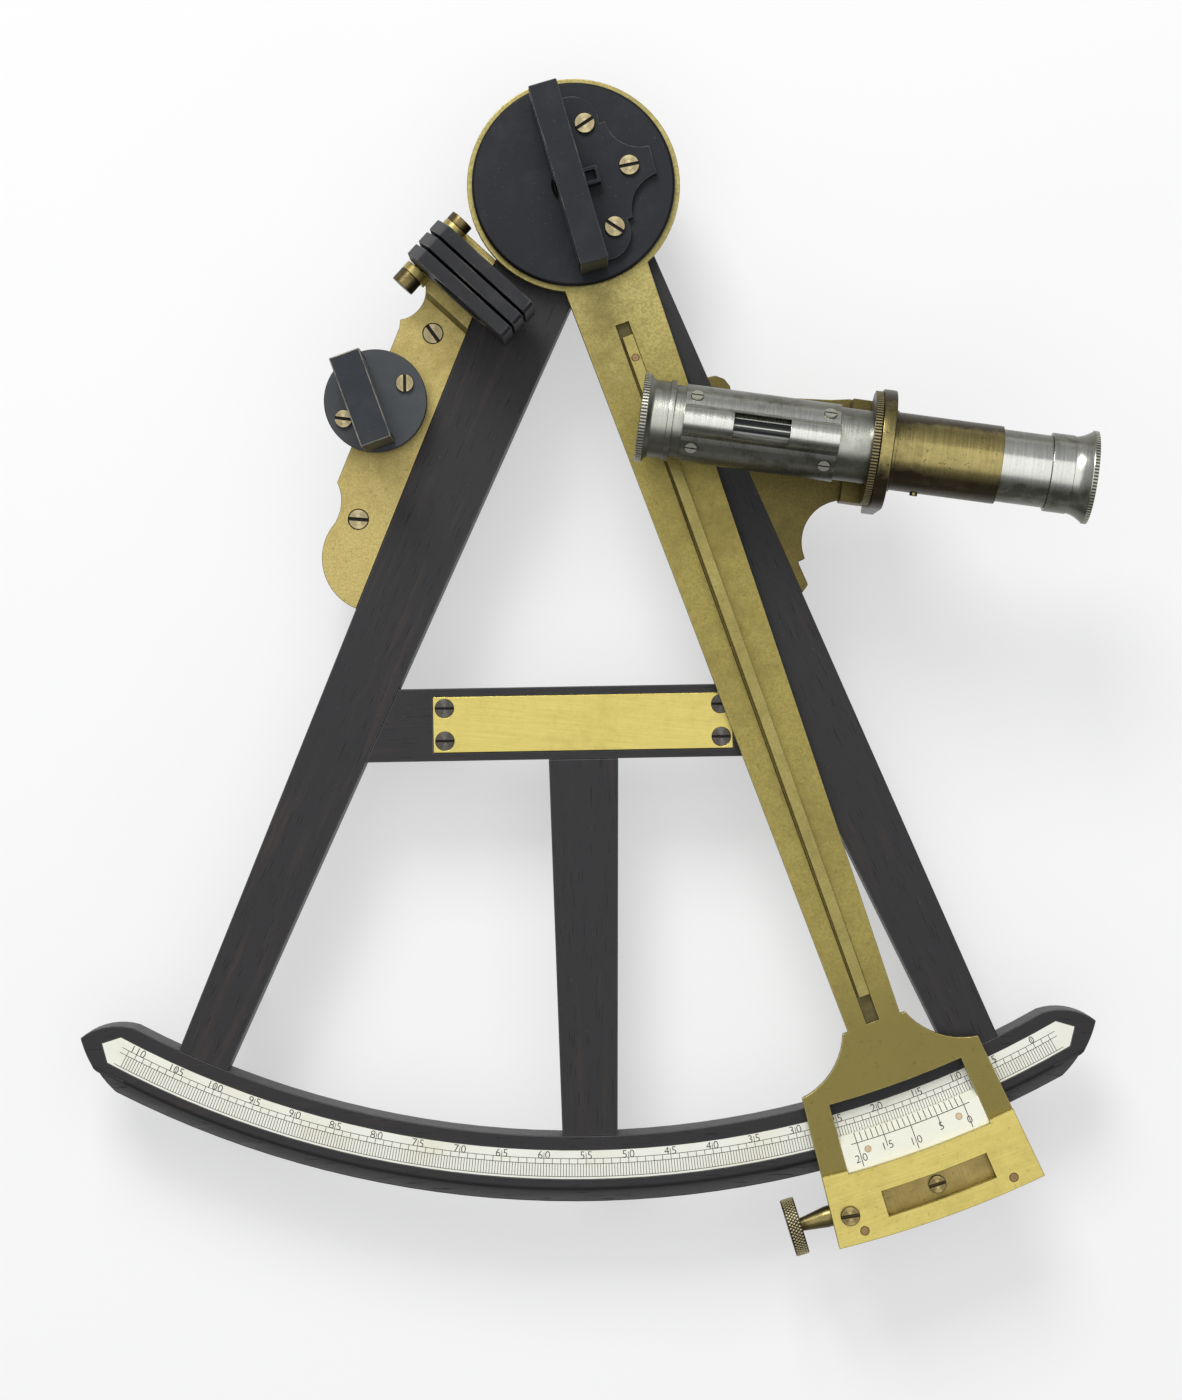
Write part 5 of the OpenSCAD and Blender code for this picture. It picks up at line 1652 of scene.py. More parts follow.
class Drawing:
    """Flat lines and numerals that are joined into one mesh."""

    CAP = 1.42
    THIN = -0.014
    SPACE = (1.0, 1.3, 1.0)
    SMOOTH = 3
    FEWEST = 8
    PER_DEGREE = 3

    def __init__(self) -> None:
        """Starts an empty drawing."""
        self.work = bmesh.new()

    def arc(self, radius: float, start: float, end: float, width: float, height: float) -> None:
        """Draws an arc about the pivot.

        Args:
            radius: Its middle radius, in millimetres.
            start: Bearing where it starts, in degrees.
            end: Bearing where it ends, in degrees.
            width: Its width, in millimetres.
            height: Its level, in millimetres.
        """
        steps = max(self.FEWEST, int(abs(end - start) * self.PER_DEGREE))
        rows = []
        for i in range(steps + 1):
            bearing = math.radians(start + (end - start) * i / steps)
            way = Vector((math.sin(bearing), -math.cos(bearing), 0.0))
            pair = (way * (radius - width / 2), way * (radius + width / 2))
            level = Vector((0.0, 0.0, height))
            rows.append([self.work.verts.new((side + level) * MM) for side in pair])
        for (a, b), (c, d) in zip(rows, rows[1:]):
            self.work.faces.new((a, b, d, c))

    def numeral(
        self, number: int, size: float, bearing: float, radius: float, height: float
    ) -> None:
        """Draws a number on an arc about the pivot.

        Args:
            number: The number.
            size: Its height, in millimetres.
            bearing: Bearing of its middle, in degrees.
            radius: Radius of its middle, in millimetres.
            height: Its level, in millimetres.
        """
        curve = bpy.data.curves.new("numeral", "FONT")
        curve.body = str(number)
        curve.align_x = "CENTER"
        curve.align_y = "CENTER"
        curve.size = size * MM * self.CAP
        curve.offset = self.THIN * size * MM
        curve.space_character = self.SPACE[len(curve.body) - 1]
        curve.resolution_u = self.SMOOTH
        holder = Shop.link("numeral", curve)
        mesh = Shop.plain(holder)
        turn = Matrix.Rotation(math.radians(bearing), 4, "Z")
        mesh.transform(turn @ Matrix.Translation(Vector((0.0, -radius, height)) * MM))
        self.work.from_mesh(mesh)
        bpy.data.objects.remove(holder)
        bpy.data.curves.remove(curve)
        bpy.data.meshes.remove(mesh)

    def mesh(self, name: str) -> bpy.types.Mesh:
        """Ends the drawing.

        Args:
            name: The mesh's name.

        Returns:
            All that was drawn.
        """
        self.work.normal_update()
        under = [face for face in self.work.faces if face.normal.z < 0.0]
        bmesh.ops.reverse_faces(self.work, faces=under)
        bmesh.ops.solidify(self.work, geom=list(self.work.faces), thickness=Ticks.DEPTH)
        bmesh.ops.recalc_face_normals(self.work, faces=list(self.work.faces))
        self.work = Shop.ordered(self.work)
        made = bpy.data.meshes.new(name)
        self.work.to_mesh(made)
        self.work.free()
        return made


class SubAssembly(ABC):
    """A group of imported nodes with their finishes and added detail."""

    @abstractmethod
    def coats(self) -> dict[str, Coat]:
        """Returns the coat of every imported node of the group."""

    def dress(self) -> list[bpy.types.Object]:
        """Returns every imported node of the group, shown with its finish."""
        return [Shop.dress(node, coat) for node, coat in self.coats().items()]

    def detail(self) -> list[bpy.types.Object]:
        """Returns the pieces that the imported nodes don't have."""
        return []

    def build(self) -> list[bpy.types.Object]:
        """Returns every piece of the group."""
        return [*self.dress(), *self.detail()]


@dataclass
class WoodFrame(SubAssembly):
    """Legs, limb, bars, ear and feet, and the plates on them. Sizes are in millimetres.

    Attributes:
        wood_edge: Width of the softened wooden edges.
        plate_edge: Width of the plates' softened edges.
        foot_edge: Width of the feet's softened edges.
        iron_edge: Width of the iron screws' softened edges.
        screw_edge: Width of the brass screws' softened edges.
        bush_edge: Width of the bush's softened edges.
        ledge: Levels that the limb's ledge lies between; the faces there take painted light.
        short_edge: Length up to which the limb's short edges are closed.
        face: Level of the limb's face.
        step_edge: Width of the rounding above the ledge.
    """

    wood_edge: float = 0.3
    plate_edge: float = 0.12
    foot_edge: float = 0.25
    iron_edge: float = 0.08
    screw_edge: float = 0.15
    bush_edge: float = 0.1
    ledge: Limits = (26.5, 27.5)
    short_edge: float = 0.25
    face: float = LIMB_FACE
    step_edge: float = 1.8

    def coats(self) -> dict[str, Coat]:
        """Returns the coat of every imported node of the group."""
        rubbed, dark, cut = Finishes.WOOD_EDGE, Finishes.KNURL_DARK, Finishes.CUT
        return {
            "left_leg": Coat(Finishes.LEFT_WOOD, self.wood_edge, rubbed),
            "right_leg": Coat(Finishes.RIGHT_WOOD, self.wood_edge, rubbed),
            "limb": Coat(
                Finishes.LIMB_WOOD,
                self.wood_edge,
                rubbed,
                # The ledge's faces take a lighter ebony: painted light.
                Patch(Finishes.LEDGE_WOOD, *self.ledge),
                close=self.short_edge,
                worn=Worn(Finishes.STEP_AT, self.face, self.step_edge),
            ),
            "cross_bar": Coat(Finishes.CROSS_WOOD, self.wood_edge, rubbed),
            "strut": Coat(Finishes.STRUT_WOOD, self.wood_edge, rubbed),
            "left_ear": Coat(Finishes.LEFT_WOOD, self.wood_edge, rubbed),
            "name_plate": Coat(Finishes.BRIGHT, self.plate_edge),
            "name_plate_screws": Coat(Finishes.IRON, self.iron_edge, cut=cut),
            "ear_plate": Coat(Finishes.EAR, self.plate_edge, Finishes.BRACKET),
            "ear_plate_screws": Coat(Finishes.SCREW, self.screw_edge, dark, cut=cut),
            "pivot_bush": Coat(Finishes.TURNED, self.bush_edge),
            "apex_foot": Coat(Finishes.TURNED, self.foot_edge),
            "limb_feet": Coat(Finishes.TURNED, self.foot_edge),
        }


@dataclass
class BoneScale(SubAssembly):
    """The scale let into the limb, with its divisions and numbers.

    Attributes:
        top: Level of the bone's face. Sizes are in millimetres.
        zero: Bearing of the zero, in degrees.
        per_unit: Degrees from one numbered unit to the next.
        first: The first unit.
        last: The last unit.
        parts: Divisions of a unit.
        arcs: Radii of the three lines along the scale.
        arc_end: Bearing where those lines end, in degrees.
        over: How far the numbered divisions pass the upper line.
        label_r: Radius of the numbers.
        label_h: Height of the numbers.
        label_every: Units from one number to the next.
        line: Width of the lines.
        lift: How far the lines stand over the bone.
    """

    top: float = LIMB_FACE
    zero: float = 27.25
    per_unit: float = 0.5
    first: int = -2
    last: int = 111
    parts: int = 3
    arcs: tuple[float, float, float] = (249.75, 251.1, 254.4)
    arc_end: float = 28.7
    over: float = 1.45
    label_r: float = 249.0
    label_h: float = 2.05
    label_every: int = 5
    line: float = 0.14
    lift: float = 0.02

    def coats(self) -> dict[str, Coat]:
        """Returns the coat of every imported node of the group."""
        return {"bone_scale": Coat(Finishes.BONE)}

    def ticks(self) -> bpy.types.Object:
        """Returns the divisions."""
        upper, middle, lower = self.arcs
        return Ticks.make(
            "scale_ticks",
            Finishes.INK,
            Body.FRAME,
            **{
                "Start": math.radians(self.zero - self.first * self.per_unit),
                "Step": -math.radians(self.per_unit / self.parts),
                "Count": (self.last - self.first) * self.parts + 1,
                "Phase": self.first * self.parts,
                "Medium Every": self.parts,
                "Long Every": self.parts * self.label_every,
                "Radius": lower * MM,
                "Short": (lower - middle) * MM,
                "Medium": (lower - upper) * MM,
                "Long": (lower - upper + self.over) * MM,
                "Width": self.line * MM,
                "Height": (self.top + self.lift) * MM,
                "Tilt": 0.0,
                "Outward": -1.0,
            },
        )

    def numbers(self) -> bpy.types.Object:
        """Returns the lines along the scale and the numbers."""
        level = self.top + self.lift
        drawn = Drawing()
        for radius in self.arcs:
            drawn.arc(radius, -self.arc_end, self.arc_end, self.line, level)
        for unit in range(0, self.last, self.label_every):
            bearing = self.zero - unit * self.per_unit
            drawn.numeral(unit, self.label_h, bearing, self.label_r, level)
        return Shop.add("scale_numbers", drawn.mesh("scale_numbers"), Finishes.INK, Body.FRAME)

    def detail(self) -> list[bpy.types.Object]:
        """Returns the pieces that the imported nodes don't have."""
        return [self.ticks(), self.numbers()]


@dataclass
class IndexArm(SubAssembly):
    """The arm with its rib, end plate and vernier.

    Attributes:
        rest: Bearing of the arm at rest, in degrees.
        edge_r: Radius of the vernier's thin edge. Sizes are in millimetres.
        edge_z: Level of that edge.
        crest_r: Radius where the vernier's slope ends.
        crest_z: Level of its flat face.
        span: Degrees that the vernier covers.
        divisions: How many divisions it has.
        label_r: Radius of the numbers.
        label_near: How much nearer the numbers between them stand.
        label_h: Height of the numbers.
        medium: Length of the flat face's shorter divisions.
        long: Length of its longer divisions.
        line: Width of the lines.
        lift: How far the lines stand over the bone.
        slope_share: Share of the slope that its divisions cover.
        crest_in: How far the line along the crest lies from it.
        crest_over: Degrees that this line passes the last divisions.
        arm_edge: Width of the arm's softened edges.
        plate_edge: Width of the end plate's softened edges.
        fine_edge: Width of the softened edges of the pins and the vernier.
        post_edge: Width of the swivel post's softened edges.
        turned_edge: Width of the softened edges of the rib, the screw, the centre pin and its nut.
        groove: Levels that the arm's groove lies between; its floor takes painted shade.
        peg: Levels that the tops of the wooden pegs lie between.
        cap: Levels that the centre pin's black top lies between.
    """

    rest: float = 18.75
    edge_r: float = 253.4
    edge_z: float = 31.7
    crest_r: float = 255.5
    crest_z: float = 35.0
    span: float = 6.5
    divisions: int = 20
    label_r: float = 259.8
    label_near: float = 1.2
    label_h: float = 2.05
    medium: float = 3.2
    long: float = 6.4
    line: float = 0.195
    lift: float = 0.025
    slope_share: float = 0.94
    crest_in: float = 0.1
    crest_over: float = 0.35
    arm_edge: float = 0.2
    plate_edge: float = 0.12
    fine_edge: float = 0.06
    post_edge: float = 0.1
    turned_edge: float = 0.15
    groove: Limits = (33.0, 34.0)
    peg: Limits = (35.0, 35.5)
    cap: Limits = (37.0, 38.0)

    def coats(self) -> dict[str, Coat]:
        """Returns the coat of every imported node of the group."""
        turned, edge = Finishes.TURNED, self.turned_edge
        # The groove's floor takes painted shade.
        groove = Patch(Finishes.GROOVE, *self.groove)
        peg = Patch(Finishes.PEG, *self.peg)
        cap = Patch(Finishes.BLACK, *self.cap)
        dark, cut = Finishes.KNURL_DARK, Finishes.WORN_CUT
        return {
            "index_arm": Coat(Finishes.ARM, self.arm_edge, Finishes.ARM_EDGE, groove),
            "arm_rib": Coat(Finishes.RIB, edge),
            "arm_pins": Coat(Finishes.RIVET, self.fine_edge, patch=peg),
            "end_plate": Coat(Finishes.END, self.plate_edge, Finishes.ARM),
            "vernier": Coat(Finishes.VERNIER, self.fine_edge),
            "swivel_post": Coat(turned, self.post_edge),
            "swivel_screw": Coat(Finishes.LATHE_SCREW, edge, dark, cut=cut),
            "centre_pin": Coat(turned, edge, patch=cap),
            "centre_nut": Coat(turned, edge),
        }

    def ticks(self, name: str, **sizes: float) -> bpy.types.Object:
        """Makes one row of divisions.

        Args:
            name: The piece's name.
            **sizes: What differs between the rows, in metres and radians.

        Returns:
            The piece.
        """
        return Ticks.make(
            name,
            Finishes.INK,
            Body.ARM,
            **{
                "Start": math.radians(self.rest - self.span / 2),
                "Step": math.radians(self.span / self.divisions),
                "Count": self.divisions + 1,
                "Phase": 0,
                "Medium Every": self.divisions // 4,
                "Long Every": self.divisions // 2,
                "Width": self.line * MM,
            },
            **sizes,
        )

    def numbers(self) -> bpy.types.Object:
        """Returns the line along the vernier and its numbers."""
        level = self.crest_z + self.lift
        drawn = Drawing()
        half = self.span / 2 + self.crest_over
        start, end = self.rest - half, self.rest + half
        drawn.arc(self.crest_r + self.crest_in, start, end, self.line, level)
        for number in range(0, self.divisions + 1, self.divisions // 4):
            bearing = self.rest + self.span / 2 - number * self.span / self.divisions
            near = self.label_near if number % (self.divisions // 2) else 0.0
            drawn.numeral(number, self.label_h, bearing, self.label_r - near, level)
        return Shop.add("vernier_numbers", drawn.mesh("vernier_numbers"), Finishes.INK, Body.ARM)

    def detail(self) -> list[bpy.types.Object]:
        """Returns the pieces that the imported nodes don't have."""
        run, rise = self.crest_r - self.edge_r, self.crest_z - self.edge_z
        length = self.slope_share * math.hypot(run, rise) * MM
        slope = self.ticks(
            "vernier_ticks",
            Radius=(self.edge_r + self.crest_r) / 2 * MM,
            Short=length,
            Medium=length,
            Long=length,
            Height=((self.edge_z + self.crest_z) / 2 + self.lift) * MM,
            Tilt=-math.atan2(rise, run),
            Outward=0.0,
        )
        flat = self.ticks(
            "vernier_long_ticks",
            Radius=self.crest_r * MM,
            Short=0.0,
            Medium=self.medium * MM,
            Long=self.long * MM,
            Height=(self.crest_z + self.lift) * MM,
            Tilt=0.0,
            Outward=1.0,
        )
        return [slope, flat, self.numbers()]


@dataclass(frozen=True)
class Rim:
    """A knurled rim. Sizes are in millimetres.

    Attributes:
        middle: Its middle.
        turn: Its axis, as a turn from Z in degrees.
        radius: Its radius.
        length: Its length.
        count: How many ridges or studs there are round it.
        rows: Rows of studs along it, or 0 for straight ridges.
        high: How far they stand out.
    """

    middle: Place
    turn: Place
    radius: float
    length: float
    count: int
    rows: int = 0
    high: float = 0.22

    SINK: ClassVar[float] = 0.3
    PROUD: ClassVar[float] = 0.03
    BLOCKS: ClassVar[int] = 72
    RIDGE: ClassVar[float] = 0.46
    STUD: ClassVar[float] = 0.90
    OVERLAP: ClassVar[float] = 1.02

    def spot(self) -> dict[str, Any]:
        """Returns the inputs that place a tree's result."""
        turn = tuple(math.radians(angle) for angle in self.turn)
        return {"Turn": turn, "Place": Vector(self.middle) * MM}

    def ridges(
        self, name: str, finish: Finish, body: Body, count: int, high: float, share: float
    ) -> bpy.types.Object:
        """Makes one ring of straight blocks.

        Args:
            name: The piece's name.
            finish: Its finish.
            body: The body that it rides on.
            count: How many blocks there are.
            high: How far they stand out, in millimetres.
            share: Their width as a share of the step between them.

        Returns:
            The piece.
        """
        deep = self.SINK + high
        wide = share * math.tau * self.radius / count
        return Knurl.make(
            name,
            finish,
            body,
            Count=count,
            Radius=(self.radius + high - deep / 2) * MM,
            Size=Vector((deep, wide, self.length)) * MM,
            **self.spot(),
        )

    def studs(self, name: str, finish: Finish, body: Body) -> bpy.types.Object:
        """Makes the staggered rows of studs.

        Args:
            name: The piece's name.
            finish: Its finish.
            body: The body that it rides on.

        Returns:
            The piece.
        """
        pitch = self.length / (self.rows + 1)
        wide = self.STUD * math.pi * self.radius / self.count
        return Studs.make(
            name,
            finish,
            body,
            Count=self.count,
            Rows=self.rows,
            Radius=(self.radius - self.SINK) * MM,
            Pitch=pitch * MM,
            Size=Vector((self.SINK + self.high, wide, self.STUD * pitch)) * MM,
            **self.spot(),
        )

    def make(self, name: str, ridge: Finish, groove: Finish, body: Body) -> list[bpy.types.Object]:
        """Makes the knurl and the darker ground under it, which is painted shade.

        Args:
            name: Start of the pieces' names.
            ridge: Finish of the ridges or studs.
            groove: Finish of the ground.
            body: The body that they ride on.

        Returns:
            The pieces.
        """
        under = f"{name}_ground"
        ground = self.ridges(under, groove, body, self.BLOCKS, self.PROUD, self.OVERLAP)
        if self.rows:
            return [ground, self.studs(name, ridge, body)]
        return [ground, self.ridges(name, ridge, body, self.count, self.high, self.RIDGE)]


@dataclass
class SlowMotion(SubAssembly):
    """The clamp on the limb and the tangent screw.

    Attributes:
        post: Middle of the tangent screw's post. Sizes are in millimetres.
        lean: Bearing of the tangent screw from X, in degrees.
        knob_at: Middle of the knob along the screw.
        knob_r: Radius of the knob.
        knob_t: Length of the knob.
        clamp: Middle of the clamp screw's head.
        clamp_r: Radius of that head.
        clamp_h: Length of its knurling.
        knob_studs: Studs in each row round the knob.
        knob_rows: Rows of studs.
        knob_high: How far the studs stand out.
        clamp_ridges: Ridges round the clamp screw's head.
        slide_edge: Width of the slide's softened edges.
        screw_edge: Width of the softened edges of the slide's screw and the tangent screw.
        clamp_edge: Width of the softened edges of the jaw and the clamp screw.
    """

    post: Place = (66.159, -264.759, 26.9)
    lean: float = 16.1
    knob_at: float = -14.3
    knob_r: float = 7.3
    knob_t: float = 3.5
    clamp: Place = (83.909, -240.150, 8.9)
    clamp_r: float = 6.0
    clamp_h: float = 5.2
    knob_studs: int = 50
    knob_rows: int = 5
    knob_high: float = 0.2
    clamp_ridges: int = 54
    slide_edge: float = 0.12
    screw_edge: float = 0.15
    clamp_edge: float = 0.2

    def coats(self) -> dict[str, Coat]:
        """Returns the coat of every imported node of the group."""
        turned, dark, cut = Finishes.TURNED, Finishes.KNURL_DARK, Finishes.WORN_CUT
        return {
            "clamp_slide": Coat(Finishes.SLIDE, self.slide_edge),
            "slide_screw": Coat(Finishes.LATHE_SCREW, self.screw_edge, dark, cut=cut),
            "clamp_jaw": Coat(turned, self.clamp_edge),
            "clamp_screw": Coat(turned, self.clamp_edge),
            "tangent_screw": Coat(turned, self.screw_edge),
        }

    def detail(self) -> list[bpy.types.Object]:
        """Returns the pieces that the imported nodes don't have."""
        lean = math.radians(self.lean)
        way = Vector((math.cos(lean), math.sin(lean), 0.0))
        middle = tuple(Vector(self.post) + way * self.knob_at)
        knob = Rim(
            middle,
            (0.0, 90.0, self.lean),
            self.knob_r,
            self.knob_t,
            self.knob_studs,
            self.knob_rows,
            self.knob_high,
        )
        head = Rim(self.clamp, (0.0, 0.0, 0.0), self.clamp_r, self.clamp_h, self.clamp_ridges)
        pale, dark = Finishes.KNURL, Finishes.KNURL_DARK
        return [
            *knob.make("knob_knurl", pale, dark, Body.TANGENT),
            *head.make("clamp_knurl", pale, dark, Body.CLAMP_SCREW),
        ]


@dataclass
class IndexMirror(SubAssembly):
    """The mirror that turns with the arm. Sizes are in millimetres.

    Attributes:
        frame_edge: Width of the frame's softened edges.
        base_edge: Width of the base's softened edges.
        platform_edge: Width of the platform's softened edges.
        screw_edge: Width of the screws' softened edges.
        glass_edge: Width of the glass's softened edges.
    """

    frame_edge: float = 0.3
    base_edge: float = 0.2
    platform_edge: float = 0.75
    screw_edge: float = 0.12
    glass_edge: float = 0.05

    def coats(self) -> dict[str, Coat]:
        """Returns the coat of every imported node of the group."""
        black, worn = Finishes.BLACK, Finishes.WORN
        dark, cut = Finishes.KNURL_DARK, Finishes.CUT
        return {
            # The platform's rounded edge takes a painted shadow.
            "mirror_platform": Coat(black, self.platform_edge, Finishes.DARK_RIM),
            "index_mirror_base": Coat(black, self.base_edge, worn),
            "index_mirror_screws": Coat(Finishes.SCREW, self.screw_edge, dark, cut=cut),
            "index_mirror_frame": Coat(black, self.frame_edge, worn),
            "index_mirror": Coat(Finishes.MIRROR, self.glass_edge),
        }


@dataclass
class HorizonGlass(SubAssembly):
    """The half-silvered glass on the ear and its lever. Sizes are in millimetres.

    Attributes:
        frame_edge: Width of the frame's softened edges.
        disc_edge: Width of the disc's softened edges.
        screw_edge: Width of the screws' softened edges.
        glass_edge: Width of the glass's softened edges.
        lever_edge: Width of the lever's softened edges.
    """

    frame_edge: float = 0.3
    disc_edge: float = 0.25
    screw_edge: float = 0.12
    glass_edge: float = 0.05
    lever_edge: float = 0.2

    def coats(self) -> dict[str, Coat]:
        """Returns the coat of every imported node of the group."""
        dark, cut = Finishes.KNURL_DARK, Finishes.CUT
        return {
            "horizon_disc": Coat(Finishes.GREY_DISC, self.disc_edge, Finishes.WORN),
            "horizon_frame": Coat(Finishes.GREY_BLACK, self.frame_edge, Finishes.BARE),
            "horizon_mirror": Coat(Finishes.MIRROR, self.glass_edge),
            "horizon_screws": Coat(Finishes.SCREW, self.screw_edge, dark, cut=cut),
            "horizon_lever": Coat(Finishes.TURNED, self.lever_edge),
        }


@dataclass
class ShadeStack(SubAssembly):
    """The folding dark glasses on their stand. Sizes are in millimetres.

    Attributes:
        frame_edge: Width of the shade frames' softened edges.
        stand_edge: Width of the stand's softened edges.
        pin_edge: Width of the pin's softened edges.
    """

    frame_edge: float = 0.28
    stand_edge: float = 0.15
    pin_edge: float = 0.2

    def coats(self) -> dict[str, Coat]:
        """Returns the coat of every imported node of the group."""
        shade = Coat(Finishes.SHADE, self.frame_edge, Finishes.WORN)
        return {
            "shade_stand": Coat(Finishes.STAND, self.stand_edge),
            "shade_pin": Coat(Finishes.PIN, self.pin_edge),
            "shade_1": shade,
            "shade_2": shade,
            "shade_3": shade,
            "shade_glass_1": Coat(Finishes.RED),
            "shade_glass_2": Coat(Finishes.RED),
            "shade_glass_3": Coat(Finishes.GREEN),
        }


@dataclass
class Telescope(SubAssembly):
    """The telescope, its level and its bracket.

    Attributes:
        start: The axis at the front end. Sizes are in millimetres.
        dip: Bearing of the axis below X, in degrees.
        rim: The front rim's middle along the axis, radius and length.
        flange: The flange's middle along the axis, radius and length.
        eye: The eyepiece's middle along the axis, radius and length.
        rim_ridges: Ridges round the front rim.
        flange_ridges: Ridges round the flange.
        eye_ridges: Ridges round the eyepiece.
        bracket_edge: Width of the bracket's softened edges.
        screw_edge: Width of the softened edges of the bracket's screws.
        collar_edge: Width of the collar's softened edges.
        flange_edge: Width of the flange's softened edges.
        end_edge: Width of the softened edges of the two ends.
        cover_edge: Width of the level cover's softened edges.
        barrel_edge: Width of the barrel's softened edges.
        draw_edge: Width of the draw tube's softened edges.
    """

    start: Place = (15.6, -61.1, 54.5)
    dip: float = SCOPE_DIP
    rim: Place = (0.85, 11.0, 1.5)
    flange: Place = (58.7, 14.15, 1.7)
    eye: Place = (113.65, 11.5, 1.1)
    rim_ridges: int = 84
    flange_ridges: int = 112
    eye_ridges: int = 88
    bracket_edge: float = 0.25
    screw_edge: float = 0.1
    collar_edge: float = 0.3
    flange_edge: float = 0.2
    end_edge: float = 0.15
    cover_edge: float = 0.08
    barrel_edge: float = 0.12
    draw_edge: float = 0.1

    def coats(self) -> dict[str, Coat]:
        """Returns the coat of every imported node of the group."""
        return {
            "scope_bracket": Coat(Finishes.BRACKET, self.bracket_edge),
            "scope_bracket_screws": Coat(Finishes.IRON, self.screw_edge),
            "scope_collar": Coat(Finishes.AGED, self.collar_edge),
            "scope_flange": Coat(Finishes.AGED, self.flange_edge),
            "scope_tube": Coat(Finishes.SILVER_TUBE),
            "objective_cell": Coat(Finishes.SILVER_TUBE, self.end_edge),
            "objective_lens": Coat(Finishes.LENS),
            "level_cover": Coat(Finishes.SILVER, self.cover_edge),
            "level_cover_screws": Coat(Finishes.SILVER_RIDGE, cut=Finishes.CUT),
            "level_vial": Coat(Finishes.VIAL),
            "scope_barrel": Coat(Finishes.AGED, self.barrel_edge),
            "draw_tube": Coat(Finishes.SILVER, self.draw_edge),
            "eyepiece": Coat(Finishes.SILVER, self.end_edge),
            "eye_lens": Coat(Finishes.LENS),
        }

    def knurled(self, rim: Place, count: int) -> Rim:
        """Places a rim on the axis.

        Args:
            rim: Its middle along the axis, radius and length, in millimetres.
            count: How many ridges it has.

        Returns:
            The rim.
        """
        along, radius, length = rim
        dip = math.radians(-self.dip)
        middle = Vector(self.start) + Vector((math.cos(dip), math.sin(dip), 0.0)) * along
        return Rim(tuple(middle), (0.0, 90.0, -self.dip), radius, length, count)

    def detail(self) -> list[bpy.types.Object]:
        """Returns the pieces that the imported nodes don't have."""
        pale, dark = Finishes.SILVER_RIDGE, Finishes.SILVER_DARK
        brass, ground = Finishes.FLANGE_KNURL, Finishes.KNURL_DARK
        rim = self.knurled(self.rim, self.rim_ridges)
        flange = self.knurled(self.flange, self.flange_ridges)
        eye = self.knurled(self.eye, self.eye_ridges)
        return [
            *rim.make("rim_knurl", pale, dark, Body.FRAME),
            *flange.make("flange_knurl", brass, ground, Body.FRAME),
            *eye.make("eye_knurl", pale, dark, Body.EYEPIECE),
        ]


@dataclass(frozen=True)
class Lamp:
    """A soft square light that points at the octant.

    Attributes:
        name: Its name.
        place: Where it stands, in metres.
        size: Its side, in metres.
        watts: Its power.
    """

    name: str
    place: Place
    size: float
    watts: float

    def build(self, aim: Place) -> None:
        """Sets the light up.

        Args:
            aim: What it points at, in metres.
        """
        light = bpy.data.lights.new(self.name, "AREA")
        light.size = self.size
        light.energy = self.watts
        holder = Shop.link(self.name, light)
        holder.location = self.place
        way = Vector(aim) - Vector(self.place)
        holder.rotation_euler = way.to_track_quat("-Z", "Y").to_euler()


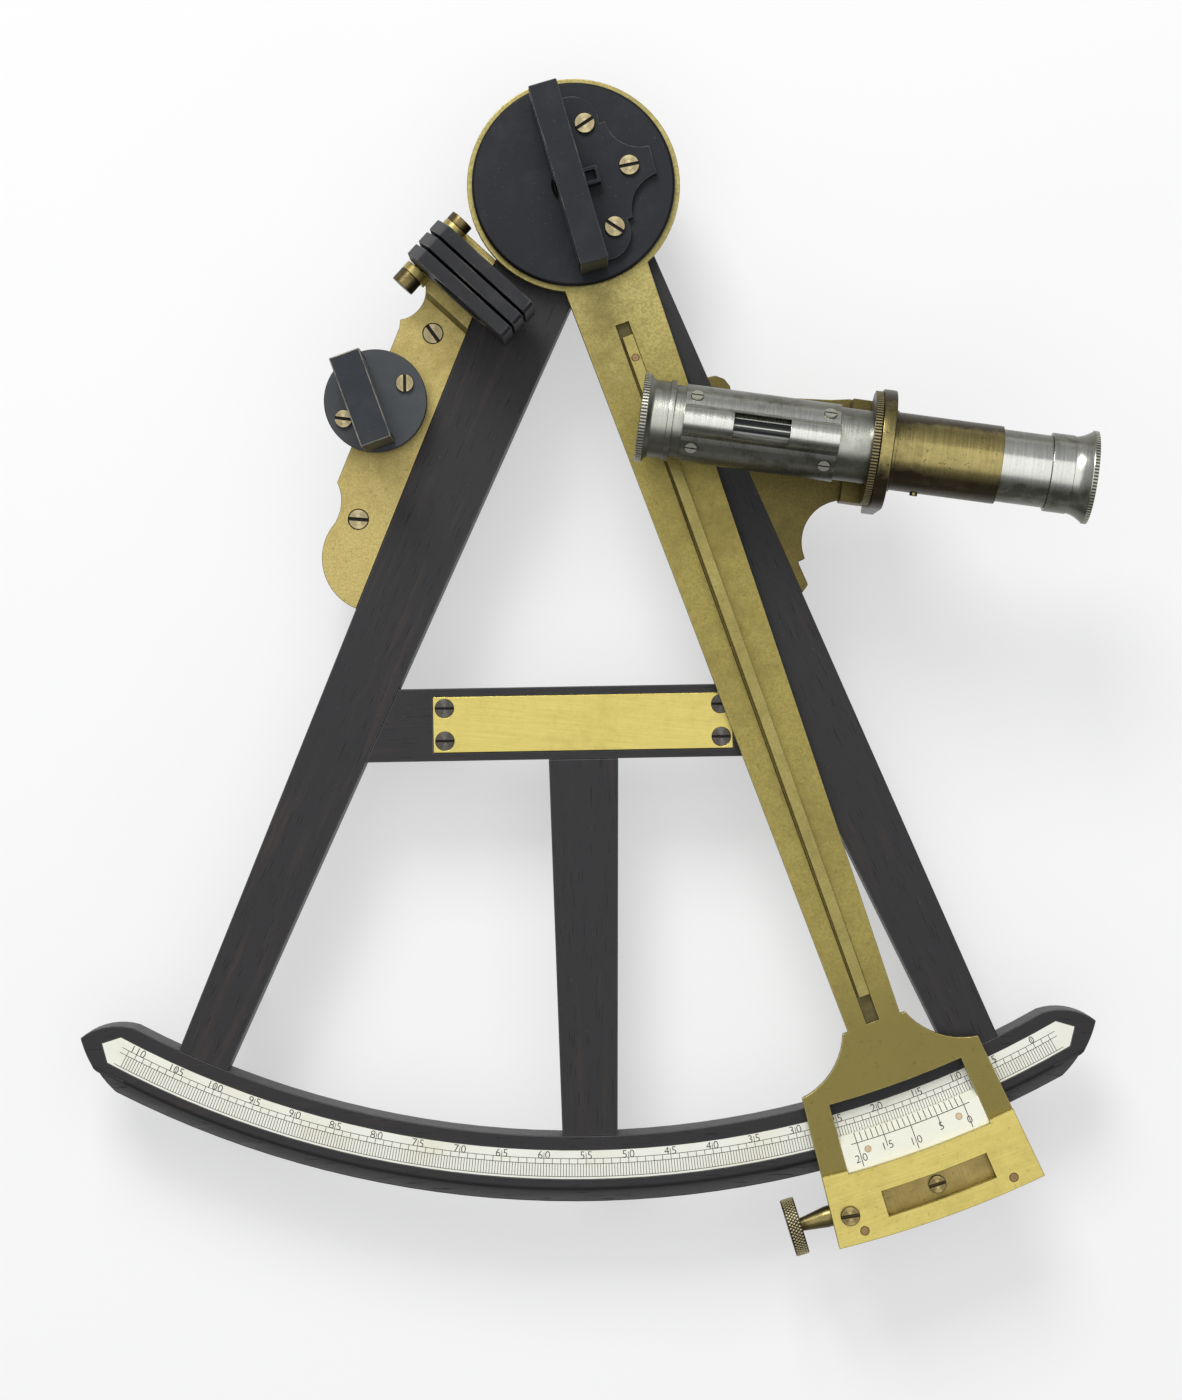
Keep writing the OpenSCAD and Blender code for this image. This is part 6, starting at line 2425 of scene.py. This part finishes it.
@dataclass
class Studio:
    """The pale floor, the soft light and the camera, in metres and degrees.

    Attributes:
        lamps: The lights.
        aim: What they point at.
        sky: Colour of the light from all round.
        sky_strength: Its strength.
        floor: Side of the floor.
        floor_colour: The floor's colour.
        floor_shade: Colour of the floor's faint clouds.
        floor_cloud: Noise where those clouds start and where they are full.
        floor_rough: The floor's roughness.
        floor_gloss: Its specular level.
        floor_white: Share of plain white in the floor as it is seen, 0 to 1.
        eye: Where the camera stands; it looks straight down.
        roll: The camera's turn about its own axis.
        lens: Its focal length, in millimetres.
        near: The nearest that it sees.
    """

    lamps: tuple[Lamp, ...] = (
        Lamp("overhead", (0.0, -0.13, 1.75), 2.2, 12.2),
        Lamp("key", (-0.35, 1.10, 1.25), 0.7, 19.6),
    )
    aim: Place = (0.0, -0.13, 0.03)
    sky: Colour = (0.95, 0.97, 1.0)
    sky_strength: float = 0.30
    floor: float = 6.0
    floor_colour: Colour = (0.94, 0.938, 0.932)
    floor_shade: Colour = (0.92, 0.918, 0.912)
    floor_cloud: Limits = (0.4, 0.7)
    floor_rough: float = 0.85
    floor_gloss: float = 0.2
    floor_white: float = 0.5
    eye: Place = (0.0022, -0.1318, 0.9155)
    roll: float = -1.0
    lens: float = 88.45
    near: float = 0.01

    WHITE: ClassVar[Sequence[float]] = (1.0, 1.0, 1.0, 1.0)

    def floor_material(self) -> bpy.types.Material:
        """Returns the floor's material."""
        paint = Paint("studio_floor")
        cloud = paint.ease(paint.noise(Noise.FLOOR), *self.floor_cloud)
        inputs = {
            "Base Color": paint.mix(cloud, self.floor_colour, self.floor_shade),
            "Roughness": self.floor_rough,
            "Specular IOR Level": self.floor_gloss,
        }
        lit = paint.out("ShaderNodeBsdfPrincipled", 0, inputs)
        white = paint.out("ShaderNodeEmission", 0, {"Color": self.WHITE, "Strength": 1.0})
        rays = paint.node("ShaderNodeLightPath").outputs
        kinds = ("Is Camera Ray", "Is Glossy Ray", "Is Transmission Ray")
        camera, glossy, through = (Signal(paint, rays[kind]) for kind in kinds)
        share = paint.math("MINIMUM", camera + glossy + through, 1.0) * self.floor_white
        mixed = paint.out("ShaderNodeMixShader", 0, {0: share, 1: lit, 2: white})
        paint.node("ShaderNodeOutputMaterial", {"Surface": mixed})
        return paint.material

    def ground(self) -> None:
        """Lays the floor."""
        half = self.floor / 2
        corners = [(-half, -half, 0), (half, -half, 0), (half, half, 0), (-half, half, 0)]
        floor = bpy.data.meshes.new("floor")
        floor.from_pydata(corners, [], [(0, 1, 2, 3)])
        floor.materials.append(self.floor_material())
        Shop.link("floor", floor)

    def light(self) -> None:
        """Lights the stage."""
        for lamp in self.lamps:
            lamp.build(self.aim)
        world = bpy.data.worlds.new("studio")
        world.use_nodes = True
        sky = world.node_tree.nodes["Background"]
        sky.inputs["Color"].default_value = (*self.sky, 1.0)
        sky.inputs["Strength"].default_value = self.sky_strength
        bpy.context.scene.world = world

    def camera(self) -> None:
        """Sets the camera over the octant."""
        camera = bpy.data.cameras.new("camera")
        camera.lens = self.lens
        camera.dof.use_dof = False
        camera.clip_start = self.near
        holder = Shop.link("camera", camera)
        holder.location = self.eye
        holder.rotation_euler = Euler((0.0, 0.0, math.radians(self.roll)))
        bpy.context.scene.camera = holder

    def build(self) -> None:
        """Sets the stage."""
        self.ground()
        self.light()
        self.camera()
        bpy.context.scene.view_settings.view_transform = "Standard"


def report(group: SubAssembly, pieces: Iterable[bpy.types.Object]) -> None:
    """Logs each piece of a group.

    Args:
        group: The group.
        pieces: Its pieces.
    """
    for piece in pieces:
        LOG.info("%s: %s, %d faces", type(group).__name__, piece.name, len(piece.data.polygons))


def main() -> None:
    """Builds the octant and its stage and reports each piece."""
    logging.basicConfig(level=logging.INFO)
    groups = (
        WoodFrame(),
        BoneScale(),
        IndexArm(),
        SlowMotion(),
        IndexMirror(),
        HorizonGlass(),
        ShadeStack(),
        Telescope(),
    )
    for group in groups:
        report(group, group.build())
    Studio().build()


if __name__ == "__main__":
    main()
